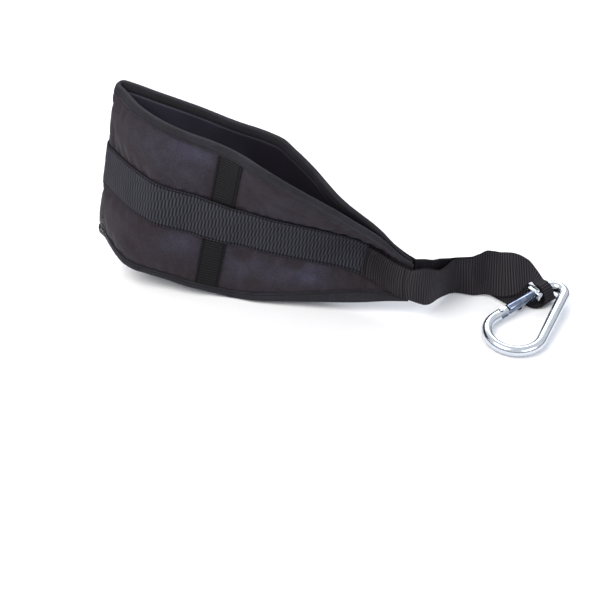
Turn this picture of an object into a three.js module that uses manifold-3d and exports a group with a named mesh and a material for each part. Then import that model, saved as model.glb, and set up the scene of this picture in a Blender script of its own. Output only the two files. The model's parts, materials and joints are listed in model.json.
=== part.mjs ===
// Hanging ab strap: a padded arm sleeve, folded in two and standing on its lower rim, with a webbing strap
// that runs from its neck through a pear-shaped snap hook. Millimetres, +Z up, the open side of the sleeve
// on top, the hook at the +X end.
import * as THREE from "three";
import { mergeVertices } from "three/addons/utils/BufferGeometryUtils.js";
import Module from "manifold-3d";

const wasm = await Module();
wasm.setup();

// Webbing
const WEBBING_WIDTH = 50;
const WEBBING_THICKNESS = 2;
const CROSS_STRIP_WIDTH = 26;
const CROSS_STRIP_THICKNESS = 1.5;
const CROSS_STRIP_FROM_NECK = 219;
const OVERLAP_LENGTH = 58;

// Sleeve
const SLEEVE_LENGTH = 345;
const SLEEVE_HEIGHT = 186;
const SLEEVE_SWING = 120;
const NECK_HEIGHT = 60;
const NECK_RISE = 50;
const TAPER_LENGTH = 183;
const SLEEVE_PITCH = THREE.MathUtils.degToRad(12.8);
const PAD_THICKNESS = 5;
const NECK_PAD_THICKNESS = 2.6;
const RIM_PAD_THICKNESS = 3;
const LINING_THICKNESS = 1;
const HEM_WIDTH = 9;
const HEM_THICKNESS = 1;
const HEM_CLEARANCE = 0.5;
const STATION_STEP = 14;

// Strap between the neck and the hook
const STRAP_REACH = 142;
const BUNCH_WIDTH = 14;
const BUNCH_THICKNESS = 3;

// Snap hook
const HOOK_LENGTH = 129;
const HOOK_WIDTH = 69;
const HOOK_WIRE = 11.5;
const HOOK_HEAD_WIRE = 12.4;
const HOOK_NARROW_RADIUS = 12;
const HOOK_HEADING = THREE.MathUtils.degToRad(48.2);
const HOOK_TILT = THREE.MathUtils.degToRad(5.2);
const HOOK_FROM_NECK = 100.3;
const HOOK_ASIDE = 31.1;
const GATE_WIRE = 10.6;
const GATE_PIVOT = 10;
const GATE_LENGTH = 46.4;
const NOSE_WIDTH = 18;
const NOSE_LENGTH = 6;
const NOSE_THICKNESS = 9;
const BLADE_THICKNESS = 4;
const BLADE_LENGTH = 7;
const RIVET_DIAMETER = 4;
const RIVET_HEAD = 7.5;
const RIVET_HEAD_RISE = 1.2;

// Clearance between pieces that touch
const GAP = 0.3;
const RUN_GAP = 0.4;

// The sleeve seen from above. Each row is a place round the sleeve, from the neck along the near panel to
// the fold and back along the far panel. along is how far from the neck the lower rim is and lean how much
// further the upper rim, as shares of SLEEVE_LENGTH; bottom, middle and top are how far the lower rim, the
// middle and the upper rim lie sideways, as shares of SLEEVE_SWING.
const SLEEVE_ROWS = [
  { along: 0, lean: 0.055, bottom: 0.05, middle: -0.01, top: -0.14 },
  { along: 0.05, lean: 0.045, bottom: 0.065, middle: 0.066, top: -0.13 },
  { along: 0.13, lean: 0.03, bottom: 0.08, middle: 0.26, top: -0.112 },
  { along: 0.2, lean: 0.02, bottom: 0.105, middle: 0.32, top: -0.085 },
  { along: 0.29, lean: 0.01, bottom: 0.15, middle: 0.323, top: -0.045 },
  { along: 0.4, lean: 0, bottom: 0.205, middle: 0.32, top: -0.03 },
  { along: 0.47, lean: 0, bottom: 0.25, middle: 0.328, top: -0.018 },
  { along: 0.531, lean: 0, bottom: 0.315, middle: 0.351, top: 0.02 },
  { along: 0.605, lean: 0, bottom: 0.345, middle: 0.376, top: 0.195 },
  { along: 0.679, lean: 0, bottom: 0.365, middle: 0.415, top: 0.31 },
  { along: 0.747, lean: 0, bottom: 0.415, middle: 0.437, top: 0.374 },
  { along: 0.814, lean: 0, bottom: 0.455, middle: 0.46, top: 0.46 },
  { along: 0.871, lean: 0, bottom: 0.495, middle: 0.575, top: 0.568 },
  { along: 0.92, lean: 0, bottom: 0.65, middle: 0.71, top: 0.7 },
  { along: 0.965, lean: 0, bottom: 0.88, middle: 0.865, top: 0.895 },
  { along: 0.99, lean: 0, bottom: 0.985, middle: 0.965, top: 0.995 },
  { along: 0.999, lean: 0, bottom: 1.05, middle: 1.03, top: 1.06 },
  { along: 0.975, lean: 0, bottom: 1.08, middle: 1.075, top: 1.09 },
  { along: 0.93, lean: 0, bottom: 1.055, middle: 1.06, top: 1.06 },
  { along: 0.881, lean: 0, bottom: 0.98, middle: 1.03, top: 1.011 },
  { along: 0.74, lean: 0, bottom: 0.86, middle: 0.92, top: 0.886 },
  { along: 0.63, lean: 0, bottom: 0.77, middle: 0.83, top: 0.76 },
  { along: 0.538, lean: 0, bottom: 0.7, middle: 0.75, top: 0.69 },
  { along: 0.476, lean: 0, bottom: 0.64, middle: 0.68, top: 0.604 },
  { along: 0.392, lean: 0, bottom: 0.53, middle: 0.575, top: 0.453 },
  { along: 0.277, lean: 0.01, bottom: 0.36, middle: 0.48, top: 0.18 },
  { along: 0.16, lean: 0.02, bottom: 0.22, middle: 0.41, top: 0.05 },
  { along: 0.1, lean: 0.035, bottom: 0.17, middle: 0.315, top: -0.015 },
  { along: 0.05, lean: 0.045, bottom: 0.125, middle: 0.165, top: -0.05 },
  { along: 0, lean: 0.055, bottom: 0.1, middle: 0.05, top: -0.075 },
];

// The strap where it is free, as places of its lower edge. along, side and rise are shares of STRAP_REACH
// from the middle of the neck, from there sideways, and from the floor. back and slant are degrees that the
// webbing leans away and towards the hook; wide is its share of the full webbing width.
const STRAP_TO_HOOK = [
  { along: 0.058, side: -0.005, rise: 0.141, back: -3, slant: -3, wide: 1 },
  { along: 0.117, side: 0.061, rise: 0.106, back: -8, slant: -2, wide: 1 },
  { along: 0.176, side: 0.157, rise: 0.07, back: -14, slant: -2, wide: 1 },
  { along: 0.257, side: 0.259, rise: 0.03, back: -8, slant: 0, wide: 1 },
  { along: 0.342, side: 0.315, rise: 0.012, back: -6, slant: -6, wide: 1 },
  { along: 0.479, side: 0.285, rise: 0.012, back: 2, slant: -7, wide: 1 },
  { along: 0.574, side: 0.28, rise: 0.02, back: 22, slant: -1, wide: 1 },
  { along: 0.68, side: 0.21, rise: 0.05, back: 45, slant: 1, wide: 1 },
  { along: 0.8, side: 0.2, rise: 0.085, back: 47, slant: -2, wide: 0.92 },
  { along: 0.905, side: 0.27, rise: 0.15, back: 60, slant: 4, wide: 0.5 },
];
const STRAP_FROM_HOOK = [
  { along: 0.815, side: 0.1, rise: 0.014, back: 77, slant: 20, wide: 0.78 },
  { along: 0.68, side: 0.21, rise: 0.014, back: 62, slant: 2, wide: 0.86 },
  { along: 0.574, side: 0.305, rise: 0.014, back: 33, slant: -2, wide: 0.88 },
  { along: 0.479, side: 0.325, rise: 0.014, back: 2, slant: -6, wide: 0.94 },
  { along: 0.342, side: 0.35, rise: 0.014, back: -6, slant: -5, wide: 0.96 },
  { along: 0.257, side: 0.315, rise: 0.04, back: -9, slant: -1, wide: 0.98 },
  { along: 0.18, side: 0.26, rise: 0.08, back: -11, slant: -2, wide: 1 },
  { along: 0.117, side: 0.18, rise: 0.115, back: -9, slant: -2, wide: 1 },
  { along: 0.06, side: 0.115, rise: 0.148, back: -5, slant: -3, wide: 1 },
];

// The strap's turn round the hook wire: degrees round the wire from its outer side, how far out it runs
// there as a share of the tightest turn, and where along the wire it starts and how wide it is there, as
// shares of BUNCH_WIDTH.
const STRAP_WRAP = [
  { turn: 62, out: 1, from: 0, wide: 1 },
  { turn: 90, out: 1, from: 0, wide: 1 },
  { turn: 120, out: 1, from: 0, wide: 1 },
  { turn: 150, out: 1.05, from: 0, wide: 1.05 },
  { turn: 180, out: 1.2, from: 0, wide: 1.05 },
  { turn: 202, out: 1.5, from: 0, wide: 1.05 },
  { turn: 216, out: 1.9, from: -0.3, wide: 1.6 },
  { turn: 236, out: 1.72, from: -0.8, wide: 2.1 },
  { turn: 264, out: 1.46, from: -1, wide: 2.3 },
  { turn: 296, out: 1.6, from: -1.1, wide: 2.5 },
];

const colours = { cloth: 0x423e46, lining: 0x23212a, webbing: 0x46464c, strip: 0x2c2b30, zinc: 0xc9ccd0 };

function material(color, roughness, metalness = 0) {
  return new THREE.MeshStandardMaterial({ color, roughness, metalness });
}

const part = new THREE.Group();

function addMesh(parent, name, geometry, look) {
  const mesh = new THREE.Mesh(geometry, look);
  mesh.name = name;
  parent.add(mesh);
  return mesh;
}

// A closed body skinned over rings of points that all have as many points; the first and last are capped.
// A band's ring runs up one face and down the other, so the diagonals of the sides in turned are turned to
// lie as those of the face before them.
function loft(rings, capStart, capEnd, turned = (side) => side >= rings[0].length / 2) {
  const count = rings[0].length;
  const positions = rings.flat().flatMap((point) => [point.x, point.y, point.z]);
  const index = [];
  for (let ring = 0; ring + 1 < rings.length; ring += 1) {
    for (let side = 0; side < count; side += 1) {
      const next = (side + 1) % count;
      const a = ring * count + side;
      const b = ring * count + next;
      if (turned(side)) index.push(a, b, a + count, b, b + count, a + count);
      else index.push(a, b, b + count, a, b + count, a + count);
    }
  }
  const last = (rings.length - 1) * count;
  for (const [a, b, c] of capStart) index.push(a, c, b);
  for (const [a, b, c] of capEnd) index.push(last + a, last + b, last + c);
  const geometry = new THREE.BufferGeometry();
  geometry.setAttribute("position", new THREE.Float32BufferAttribute(positions, 3));
  geometry.setIndex(index);
  return outward(geometry);
}

// Turns a closed geometry's faces outward if its signed volume is negative.
function outward(geometry) {
  const place = geometry.getAttribute("position");
  const corners = geometry.getIndex().array;
  const [a, b, c] = [new THREE.Vector3(), new THREE.Vector3(), new THREE.Vector3()];
  let volume = 0;
  for (let i = 0; i < corners.length; i += 3) {
    a.fromBufferAttribute(place, corners[i]);
    b.fromBufferAttribute(place, corners[i + 1]);
    c.fromBufferAttribute(place, corners[i + 2]);
    volume += a.dot(b.cross(c));
  }
  if (volume < 0) {
    for (let i = 0; i < corners.length; i += 3) {
      [corners[i + 1], corners[i + 2]] = [corners[i + 2], corners[i + 1]];
    }
  }
  return geometry;
}

// Cap of a band: the ring runs up one face and down the other, so the cap is a ladder of quads.
function ladder(count) {
  const cap = [];
  for (let i = 0; i + 1 < count / 2; i += 1) {
    cap.push([i, i + 1, count - 2 - i], [i, count - 2 - i, count - 1 - i]);
  }
  return cap;
}

// Cap of a round ring, as a fan.
function fan(count) {
  const cap = [];
  for (let i = 1; i + 1 < count; i += 1) cap.push([0, i, i + 1]);
  return cap;
}

const neck = new THREE.Vector3(0, 0, NECK_RISE);
const up = new THREE.Vector3(Math.sin(SLEEVE_PITCH), 0, Math.cos(SLEEVE_PITCH));
const ahead = new THREE.Vector3(Math.cos(SLEEVE_PITCH), 0, -Math.sin(SLEEVE_PITCH));
const aside = new THREE.Vector3(0, 1, 0);

const columnLean = { bottom: 0, middle: 0.5, top: 1 };

function planCurve(column) {
  const points = SLEEVE_ROWS.map((row) => {
    const back = row.along + row.lean * columnLean[column];
    return new THREE.Vector3(-back * SLEEVE_LENGTH, row[column] * SLEEVE_SWING, 0);
  });
  return new THREE.CatmullRomCurve3(points, false, "centripetal");
}

const plan = { bottom: planCurve("bottom"), middle: planCurve("middle"), top: planCurve("top") };

function taper(distance) {
  const share = Math.min(1, distance / TAPER_LENGTH);
  return (NECK_HEIGHT + (SLEEVE_HEIGHT - NECK_HEIGHT) * share) / 2;
}

// The plan at one place round the sleeve: its three columns and how high the sleeve stands there.
function station(t) {
  const at = {};
  for (const column of Object.keys(plan)) at[column] = plan[column].getPoint(t);
  at.below = taper(Math.abs(at.bottom.x));
  at.above = taper(Math.hypot(at.top.x, at.top.y));
  return at;
}

// A point of the sleeve's middle surface, at a height above or below the webbing's centre line.
function surface(t, height) {
  const at = station(t);
  const share = height < 0 ? height / at.below : height / at.above;
  const tilt = at.top.clone().sub(at.bottom).multiplyScalar(share / 2);
  const mean = at.top.clone().add(at.bottom).multiplyScalar(0.5);
  const bulge = mean.sub(at.middle).multiplyScalar(share * share);
  const flat = at.middle.clone().add(tilt).add(bulge);
  const point = neck.clone().addScaledVector(ahead, flat.x).addScaledVector(aside, flat.y);
  return point.addScaledVector(up, height);
}

// The way out of the sleeve at a place, square to its middle surface.
function outwards(t, height) {
  const step = 0.0015;
  const after = surface(Math.min(1, t + step), height);
  const before = surface(Math.max(0, t - step), height);
  const along = after.sub(before);
  const rise = surface(t, height + 1).sub(surface(t, height - 1));
  return rise.cross(along).normalize();
}

// Places round the sleeve a fixed step apart, with extra ones where pieces begin and end.
const measure = [];
for (let i = 0; i <= 800; i += 1) {
  const t = i / 800;
  const point = surface(t, 0);
  const length = i === 0 ? 0 : measure[i - 1].length + point.distanceTo(measure[i - 1].point);
  measure.push({ t, point, length });
}
const loopLength = measure[measure.length - 1].length;

function atLength(length) {
  const found = measure.findIndex((entry) => entry.length >= length);
  if (found <= 0) return 0;
  const [low, high] = [measure[found - 1], measure[found]];
  return THREE.MathUtils.lerp(low.t, high.t, (length - low.length) / (high.length - low.length));
}

function spread(from, to) {
  const count = Math.max(1, Math.round((to - from) / STATION_STEP));
  return Array.from({ length: count + 1 }, (_, i) => from + ((to - from) * i) / count);
}

const stripStart = CROSS_STRIP_FROM_NECK - CROSS_STRIP_WIDTH / 2;
const stripEnd = CROSS_STRIP_FROM_NECK + CROSS_STRIP_WIDTH / 2;
const liningStart = OVERLAP_LENGTH;
const stops = [0, WEBBING_THICKNESS, OVERLAP_LENGTH, stripStart, stripEnd];
const marks = [...stops, ...stops.map((stop) => loopLength - stop).reverse()];
const lengths = [];
for (let i = 0; i + 1 < marks.length; i += 1) lengths.push(...spread(marks[i], marks[i + 1]).slice(0, -1));
lengths.push(loopLength);

function fromNeck(length) {
  return Math.min(length, loopLength - length);
}

function padHalf(length) {
  const share = Math.min(1, fromNeck(length) / OVERLAP_LENGTH);
  return THREE.MathUtils.lerp(NECK_PAD_THICKNESS, PAD_THICKNESS, share * share) / 2;
}

function within(from, to) {
  return lengths.filter((length) => length > from - 0.01 && length < to + 0.01);
}

// A band that follows the sleeve: for each place, the heights of its rows and its two faces' offsets.
function band(places, heights, inner, outer) {
  const rings = places.map((length) => {
    const t = atLength(length);
    const rows = heights(t, length);
    const face = (offset) => rows.map((height) => {
      return surface(t, height).addScaledVector(outwards(t, height), offset(length, height, t));
    });
    return [...face(inner), ...face(outer).reverse()];
  });
  const cap = ladder(rings[0].length);
  return loft(rings, cap, cap);
}

// Heights of a panel's rows: the webbing's rows, one between them and the edge of the lining, that edge and,
// for the pad, its rim inside the hem.
function panelRows(t, withRim) {
  const at = station(t);
  const half = WEBBING_WIDTH / 2;
  const side = (height) => {
    const edge = Math.max(half + 1, height - liningInset);
    const rim = withRim ? [height - hemInset] : [];
    return [(edge + half) / 2, edge, ...rim];
  };
  const below = side(at.below).map((height) => -height);
  return [...below.reverse(), -half, -half / 2, 0, half / 2, half, ...side(at.above)];
}

const hemInset = HEM_THICKNESS + HEM_CLEARANCE;
const liningInset = HEM_WIDTH + HEM_CLEARANCE;

function rimShare(t, height) {
  const at = station(t);
  const toRim = (height < 0 ? at.below : at.above) - Math.abs(height);
  return toRim < HEM_WIDTH / 2 ? 1 : 0;
}

function padFace(length, height, t) {
  const half = padHalf(length);
  return rimShare(t, height) ? Math.min(half, RIM_PAD_THICKNESS / 2) : half;
}

const cloth = material(colours.cloth, 0.85);
const webbingLook = material(colours.webbing, 0.8);

addMesh(
  part,
  "sleeve_pad",
  band(
    lengths,
    (t) => panelRows(t, true),
    (length, height, t) => -padFace(length, height, t),
    padFace,
  ),
  cloth,
);

// The lining lies on the pad's inner face, between the two hems.
addMesh(
  part,
  "sleeve_lining",
  band(
    within(liningStart, loopLength - liningStart),
    (t) => panelRows(t, false),
    (length) => -padHalf(length) - GAP - LINING_THICKNESS,
    (length) => -padHalf(length) - GAP,
  ),
  material(colours.lining, 0.7),
);

// A hem is a channel folded over the rim of the pad: down one side, round the rim and up the other.
function hem(sign) {
  const places = within(WEBBING_THICKNESS, loopLength - WEBBING_THICKNESS);
  const rings = places.map((length) => {
    const t = atLength(length);
    const at = station(t);
    const rim = sign * (sign < 0 ? at.below : at.above);
    const room = Math.min(HEM_WIDTH, Math.abs(rim) - WEBBING_WIDTH / 2 - GAP);
    const foot = rim - sign * room;
    const turn = rim - sign * hemInset;
    const bend = rim - sign * HEM_THICKNESS;
    const near = Math.min(padHalf(length), RIM_PAD_THICKNESS / 2) + HEM_CLEARANCE;
    const swell = Math.max(near, padHalf(length) + HEM_CLEARANCE);
    const place = (height, offset) => surface(t, height).addScaledVector(outwards(t, height), offset);
    return [
      place(foot, swell),
      place(turn, near),
      place(bend, near),
      place(bend, -near),
      place(turn, -near),
      place(foot, -swell),
      place(foot, -swell - HEM_THICKNESS),
      place(turn, -near - HEM_THICKNESS),
      place(rim, -near),
      place(rim, near),
      place(turn, near + HEM_THICKNESS),
      place(foot, swell + HEM_THICKNESS),
    ];
  });
  const cap = ladder(rings[0].length);
  return loft(rings, cap, cap, (side) => (sign > 0 ? side > 2 : side < 3));
}

addMesh(part, "top_hem", hem(1), cloth);
addMesh(part, "bottom_hem", hem(-1), cloth);

// The cross strips lie on the pad, under the main webbing.
function crossStrip(from, to) {
  return band(
    within(from, to),
    (t) => panelRows(t, false),
    (length) => padHalf(length) + GAP,
    (length) => padHalf(length) + GAP + CROSS_STRIP_THICKNESS,
  );
}

const stripLook = material(colours.strip, 0.85);
addMesh(part, "cross_strip_near", crossStrip(stripStart, stripEnd), stripLook);
addMesh(part, "cross_strip_far", crossStrip(loopLength - stripEnd, loopLength - stripStart), stripLook);

function webbingRows() {
  const half = WEBBING_WIDTH / 2;
  return [-half, -half / 2, 0, half / 2, half];
}

// The main webbing steps out over the cross strips.
function webbingSeat(length) {
  const place = fromNeck(length);
  const over = place > stripStart - 0.01 && place < stripEnd + 0.01;
  return padHalf(length) + GAP + (over ? CROSS_STRIP_THICKNESS + GAP : 0);
}

addMesh(
  part,
  "main_webbing",
  band(
    within(WEBBING_THICKNESS, loopLength - WEBBING_THICKNESS),
    webbingRows,
    webbingSeat,
    (length) => webbingSeat(length) + WEBBING_THICKNESS,
  ),
  webbingLook,
);

// The snap hook in its own frame: x from the wide end to the narrow end, y towards the gate, z square to
// the hook's plane, with the centre of the wide arc at the origin.
const wideRadius = (HOOK_WIDTH - HOOK_WIRE) / 2;
const centres = HOOK_LENGTH - HOOK_WIRE - wideRadius - HOOK_NARROW_RADIUS;
const flank = Math.asin((wideRadius - HOOK_NARROW_RADIUS) / centres);
const flankWay = new THREE.Vector3(Math.cos(flank), -Math.sin(flank), 0);
const flankOut = new THREE.Vector3(Math.sin(flank), Math.cos(flank), 0);
const flankLength = centres * Math.cos(flank);
const flankStart = flankOut.clone().multiplyScalar(wideRadius);
const noseEnd = GATE_PIVOT + GATE_LENGTH + RUN_GAP + NOSE_LENGTH;

const hook = new THREE.Group();
hook.position.set(HOOK_FROM_NECK, -HOOK_ASIDE, HOOK_WIRE / 2 + wideRadius * Math.sin(HOOK_TILT));
hook.rotation.set(0, -HOOK_TILT, HOOK_HEADING, "ZYX");
part.add(hook);

function onFlank(distance) {
  return flankStart.clone().addScaledVector(flankWay, distance);
}

function arc(centre, radius, from, to, steps) {
  return Array.from({ length: steps + 1 }, (_, i) => {
    const angle = from + ((to - from) * i) / steps;
    return new THREE.Vector3(centre + radius * Math.cos(angle), radius * Math.sin(angle), 0);
  });
}

// A round bar along a flat path, with a diameter for each point.
function bar(path, diameters, sides = 14) {
  const rings = path.map((point, i) => {
    const before = path[Math.max(0, i - 1)];
    const after = path[Math.min(path.length - 1, i + 1)];
    const way = after.clone().sub(before).normalize();
    const square = new THREE.Vector3(-way.y, way.x, 0);
    return Array.from({ length: sides }, (_, k) => {
      const angle = (2 * Math.PI * (k + 0.5)) / sides;
      const reach = diameters[i] / 2;
      const out = point.clone().addScaledVector(square, reach * Math.cos(angle));
      return out.setZ(point.z + reach * Math.sin(angle));
    });
  });
  return loft(rings, fan(sides), fan(sides));
}

function toSolid(geometry) {
  const bare = geometry.clone();
  bare.deleteAttribute("normal");
  bare.deleteAttribute("uv");
  const merged = mergeVertices(bare);
  const vertProperties = new Float32Array(merged.getAttribute("position").array);
  const triVerts = new Uint32Array(merged.getIndex().array);
  return new wasm.Manifold(new wasm.Mesh({ numProp: 3, vertProperties, triVerts }));
}

function toGeometry(solid) {
  const mesh = solid.getMesh();
  const geometry = new THREE.BufferGeometry();
  geometry.setAttribute("position", new THREE.Float32BufferAttribute(mesh.vertProperties, 3));
  geometry.setIndex(new THREE.Uint32BufferAttribute(mesh.triVerts, 1));
  return geometry;
}

// A block on the gate's line: from one distance along it to another, its width across and its thickness.
function flankBlock(from, to, across, thickness, bevel = 0) {
  const shape = new THREE.Shape();
  shape.moveTo(from + bevel, -across / 2 + bevel);
  shape.lineTo(to - bevel, -across / 2 + bevel);
  shape.lineTo(to - bevel, across / 2 - bevel);
  shape.lineTo(from + bevel, across / 2 - bevel);
  shape.closePath();
  const options = { depth: thickness - 2 * bevel, bevelEnabled: bevel > 0, bevelSegments: 1 };
  Object.assign(options, { bevelThickness: bevel, bevelSize: bevel });
  const geometry = new THREE.ExtrudeGeometry(shape, options);
  return toFlank(geometry.translate(0, 0, bevel - thickness / 2));
}

// Moves a geometry that was drawn along x so that it lies along the gate's line.
function toFlank(geometry) {
  return geometry.rotateZ(-flank).translate(flankStart.x, flankStart.y, 0);
}

const cheekReach = GATE_WIRE / 2 + RUN_GAP;
const tongueThickness = BLADE_THICKNESS;
const slotThickness = tongueThickness + 2 * RUN_GAP;
const quarter = Math.PI / 2;

function hookBody() {
  const sweep = quarter - flank;
  const headStart = arc(centres, HOOK_NARROW_RADIUS, -sweep, sweep, 10);
  const path = [
    onFlank(GATE_PIVOT + cheekReach),
    onFlank(0),
    ...arc(0, wideRadius, sweep, 2 * Math.PI - sweep, 26).slice(1),
    ...headStart,
    onFlank(noseEnd - 1),
  ];
  const spineEnd = path.length - headStart.length - 1;
  const diameters = path.map((_, i) => (i < spineEnd ? HOOK_WIRE : HOOK_HEAD_WIRE));
  const wire = toSolid(bar(path, diameters));
  const slotStart = GATE_PIVOT - cheekReach;
  const slotEnd = GATE_PIVOT + cheekReach + 1;
  const slot = toSolid(flankBlock(slotStart, slotEnd, 2 * HOOK_WIRE, slotThickness));
  const nose = toSolid(flankBlock(noseEnd - NOSE_LENGTH, noseEnd, NOSE_WIDTH, NOSE_THICKNESS, 1));
  const bladeStart = noseEnd - NOSE_LENGTH - BLADE_LENGTH;
  const blade = toSolid(flankBlock(bladeStart, noseEnd - 1, 0.6 * GATE_WIRE, BLADE_THICKNESS, 0.5));
  return wire.subtract(slot).add(nose).add(blade).subtract(rivetHole(slotThickness + HOOK_WIRE));
}

function rivetCylinder(diameter, height) {
  const geometry = new THREE.CylinderGeometry(diameter / 2, diameter / 2, height, 16);
  const pivot = onFlank(GATE_PIVOT);
  return geometry.rotateX(quarter).translate(pivot.x, pivot.y, 0);
}

function rivetHole(height) {
  return toSolid(rivetCylinder(RIVET_DIAMETER + 2 * GAP, height));
}

// The gate: a tongue in the body's fork, a round bar, and a slot at the free end that takes the blade.
function gateSolid() {
  const pivot = onFlank(GATE_PIVOT);
  const shoulder = GATE_PIVOT + Math.hypot(cheekReach, HOOK_WIRE / 2) + GAP;
  const end = GATE_PIVOT + GATE_LENGTH;
  const lip = 1.2;
  const rod = bar(
    [onFlank(shoulder), onFlank(shoulder + lip), onFlank(end - lip), onFlank(end)],
    [GATE_WIRE - lip, GATE_WIRE, GATE_WIRE, GATE_WIRE - lip],
  );
  const tongue = flankBlock(GATE_PIVOT, shoulder + 2, GATE_WIRE - 2, tongueThickness);
  const eye = new THREE.CylinderGeometry(GATE_WIRE / 2 - 1, GATE_WIRE / 2 - 1, tongueThickness, 18);
  eye.rotateX(quarter).translate(pivot.x, pivot.y, 0);
  const slotStart = end - BLADE_LENGTH - 1;
  const slot = toSolid(flankBlock(slotStart, end + 1, 2 * GATE_WIRE, BLADE_THICKNESS + 2 * RUN_GAP));
  const gate = toSolid(rod).add(toSolid(tongue)).add(toSolid(eye)).subtract(slot);
  return gate.subtract(rivetHole(GATE_WIRE));
}

// The rivet: a plain shank through fork and tongue, with a low head on each side.
function rivet() {
  const face = Math.sqrt((HOOK_WIRE / 2) ** 2 - (RIVET_HEAD / 2) ** 2);
  const profile = [
    [0, -HOOK_WIRE / 2 - RIVET_HEAD_RISE],
    [RIVET_HEAD / 2 - 1, -HOOK_WIRE / 2 - RIVET_HEAD_RISE],
    [RIVET_HEAD / 2, -HOOK_WIRE / 2 - GAP],
    [RIVET_DIAMETER / 2, -HOOK_WIRE / 2 - GAP],
    [RIVET_DIAMETER / 2, HOOK_WIRE / 2 + GAP],
    [RIVET_HEAD / 2, HOOK_WIRE / 2 + GAP],
    [RIVET_HEAD / 2 - 1, HOOK_WIRE / 2 + RIVET_HEAD_RISE],
    [0, HOOK_WIRE / 2 + RIVET_HEAD_RISE],
  ].map(([x, y]) => new THREE.Vector2(x, y));
  const pivot = onFlank(GATE_PIVOT);
  return new THREE.LatheGeometry(profile, 16).rotateX(quarter).translate(pivot.x, pivot.y, 0);
}

const zinc = material(colours.zinc, 0.25, 1);
addMesh(hook, "carabiner_body", toGeometry(hookBody()), zinc);
addMesh(hook, "carabiner_gate", toGeometry(gateSolid()), zinc);
addMesh(hook, "gate_rivet", rivet(), zinc);

// The strap: sewn over the main webbing, free from the neck to the hook, round the wire and back.
hook.updateMatrixWorld(true);

const acrossShares = [0, 0.25, 0.5, 0.75, 1];

function sewnSection(length) {
  const t = atLength(length);
  const inner = webbingSeat(length) + WEBBING_THICKNESS + GAP;
  const face = (offset) => webbingRows().map((height) => {
    return surface(t, height).addScaledVector(outwards(t, height), offset);
  });
  const faces = [face(inner + WEBBING_THICKNESS), face(inner)];
  return { faces, rows: face(inner + WEBBING_THICKNESS / 2), thick: WEBBING_THICKNESS };
}

function flatSection(low, width, thick) {
  return { rows: acrossShares.map((share) => low.clone().addScaledVector(width, share)), thick };
}

function freeSection(row) {
  const back = THREE.MathUtils.degToRad(row.back);
  const slant = THREE.MathUtils.degToRad(row.slant);
  const way = new THREE.Vector3(
    Math.sin(slant),
    Math.sin(back) * Math.cos(slant),
    Math.cos(back) * Math.cos(slant),
  );
  const low = new THREE.Vector3(row.along, row.side, row.rise).multiplyScalar(STRAP_REACH);
  return flatSection(low, way.multiplyScalar(row.wide * WEBBING_WIDTH), WEBBING_THICKNESS);
}

function wrapSection(row) {
  const turn = THREE.MathUtils.degToRad(row.turn);
  const tight = HOOK_HEAD_WIRE / 2 + GAP + BUNCH_THICKNESS / 2;
  const low = onFlank(noseEnd + GAP + row.from * BUNCH_WIDTH);
  low.addScaledVector(flankOut, Math.cos(turn) * row.out * tight);
  low.z += Math.sin(turn) * row.out * tight;
  const width = flankWay.clone().transformDirection(hook.matrixWorld);
  width.multiplyScalar(row.wide * BUNCH_WIDTH);
  return flatSection(hook.localToWorld(low), width, BUNCH_THICKNESS);
}

// Evens out the free run between two sewn ends: smooth curves through the sections' rows.
function smoothRun(sections, perSection) {
  const curves = acrossShares.map((_, k) => {
    return new THREE.CatmullRomCurve3(sections.map((section) => section.rows[k]), false, "centripetal");
  });
  const run = [];
  for (let step = perSection + 1; step < perSection * (sections.length - 2); step += 1) {
    const at = step / perSection;
    const low = Math.floor(at);
    const thick = THREE.MathUtils.lerp(sections[low].thick, sections[low + 1].thick, at - low);
    run.push({ rows: curves.map((curve) => curve.getPoint(at / (sections.length - 1))), thick });
  }
  return run;
}

const sewnNear = within(0, OVERLAP_LENGTH).reverse().map(sewnSection);
const sewnFar = within(loopLength - OVERLAP_LENGTH, loopLength).reverse().map(sewnSection);
const freeRun = smoothRun(
  [
    ...sewnNear.slice(-2),
    ...STRAP_TO_HOOK.map(freeSection),
    ...STRAP_WRAP.map(wrapSection),
    ...STRAP_FROM_HOOK.map(freeSection),
    ...sewnFar.slice(0, 2),
  ],
  2,
);
const strapRun = [...sewnNear, ...freeRun, ...sewnFar];

// The two faces of the strap at one section: given where it is sewn, square to its run where it is free.
function strapFaces(section, i) {
  if (section.faces) return section.faces;
  const before = strapRun[i - 1].rows;
  const after = strapRun[i + 1].rows;
  const last = acrossShares.length - 1;
  const width = section.rows[last].clone().sub(section.rows[0]);
  const face = (offset) => section.rows.map((row, k) => {
    const square = width.clone().cross(after[k].clone().sub(before[k])).normalize();
    return row.clone().addScaledVector(square, offset);
  });
  return [face(-section.thick / 2), face(section.thick / 2)];
}

function strapLoop() {
  const rings = strapRun.map((section, i) => {
    const [first, second] = strapFaces(section, i);
    return [...first, ...second.slice().reverse()];
  });
  const cap = ladder(rings[0].length);
  // Its sewn rings run against the main webbing's, so the first face's diagonals are the turned ones.
  return loft(rings, cap, cap, (side) => side < rings[0].length / 2);
}

addMesh(part, "strap_loop", strapLoop(), webbingLook);

// The origin is the middle of the bounding box's bottom.
part.updateMatrixWorld(true);
const box = new THREE.Box3().setFromObject(part, true);
const centre = box.getCenter(new THREE.Vector3());
part.position.set(-centre.x, -centre.y, -box.min.z);
part.updateMatrixWorld(true);

export default part;
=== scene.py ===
"""Hanging ab strap: a padded arm sleeve with ribbed webbing, a webbing strap and a steel snap hook."""
import json
import math

import bmesh
import bpy
import numpy as np
from mathutils import Matrix, Vector, noise

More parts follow.
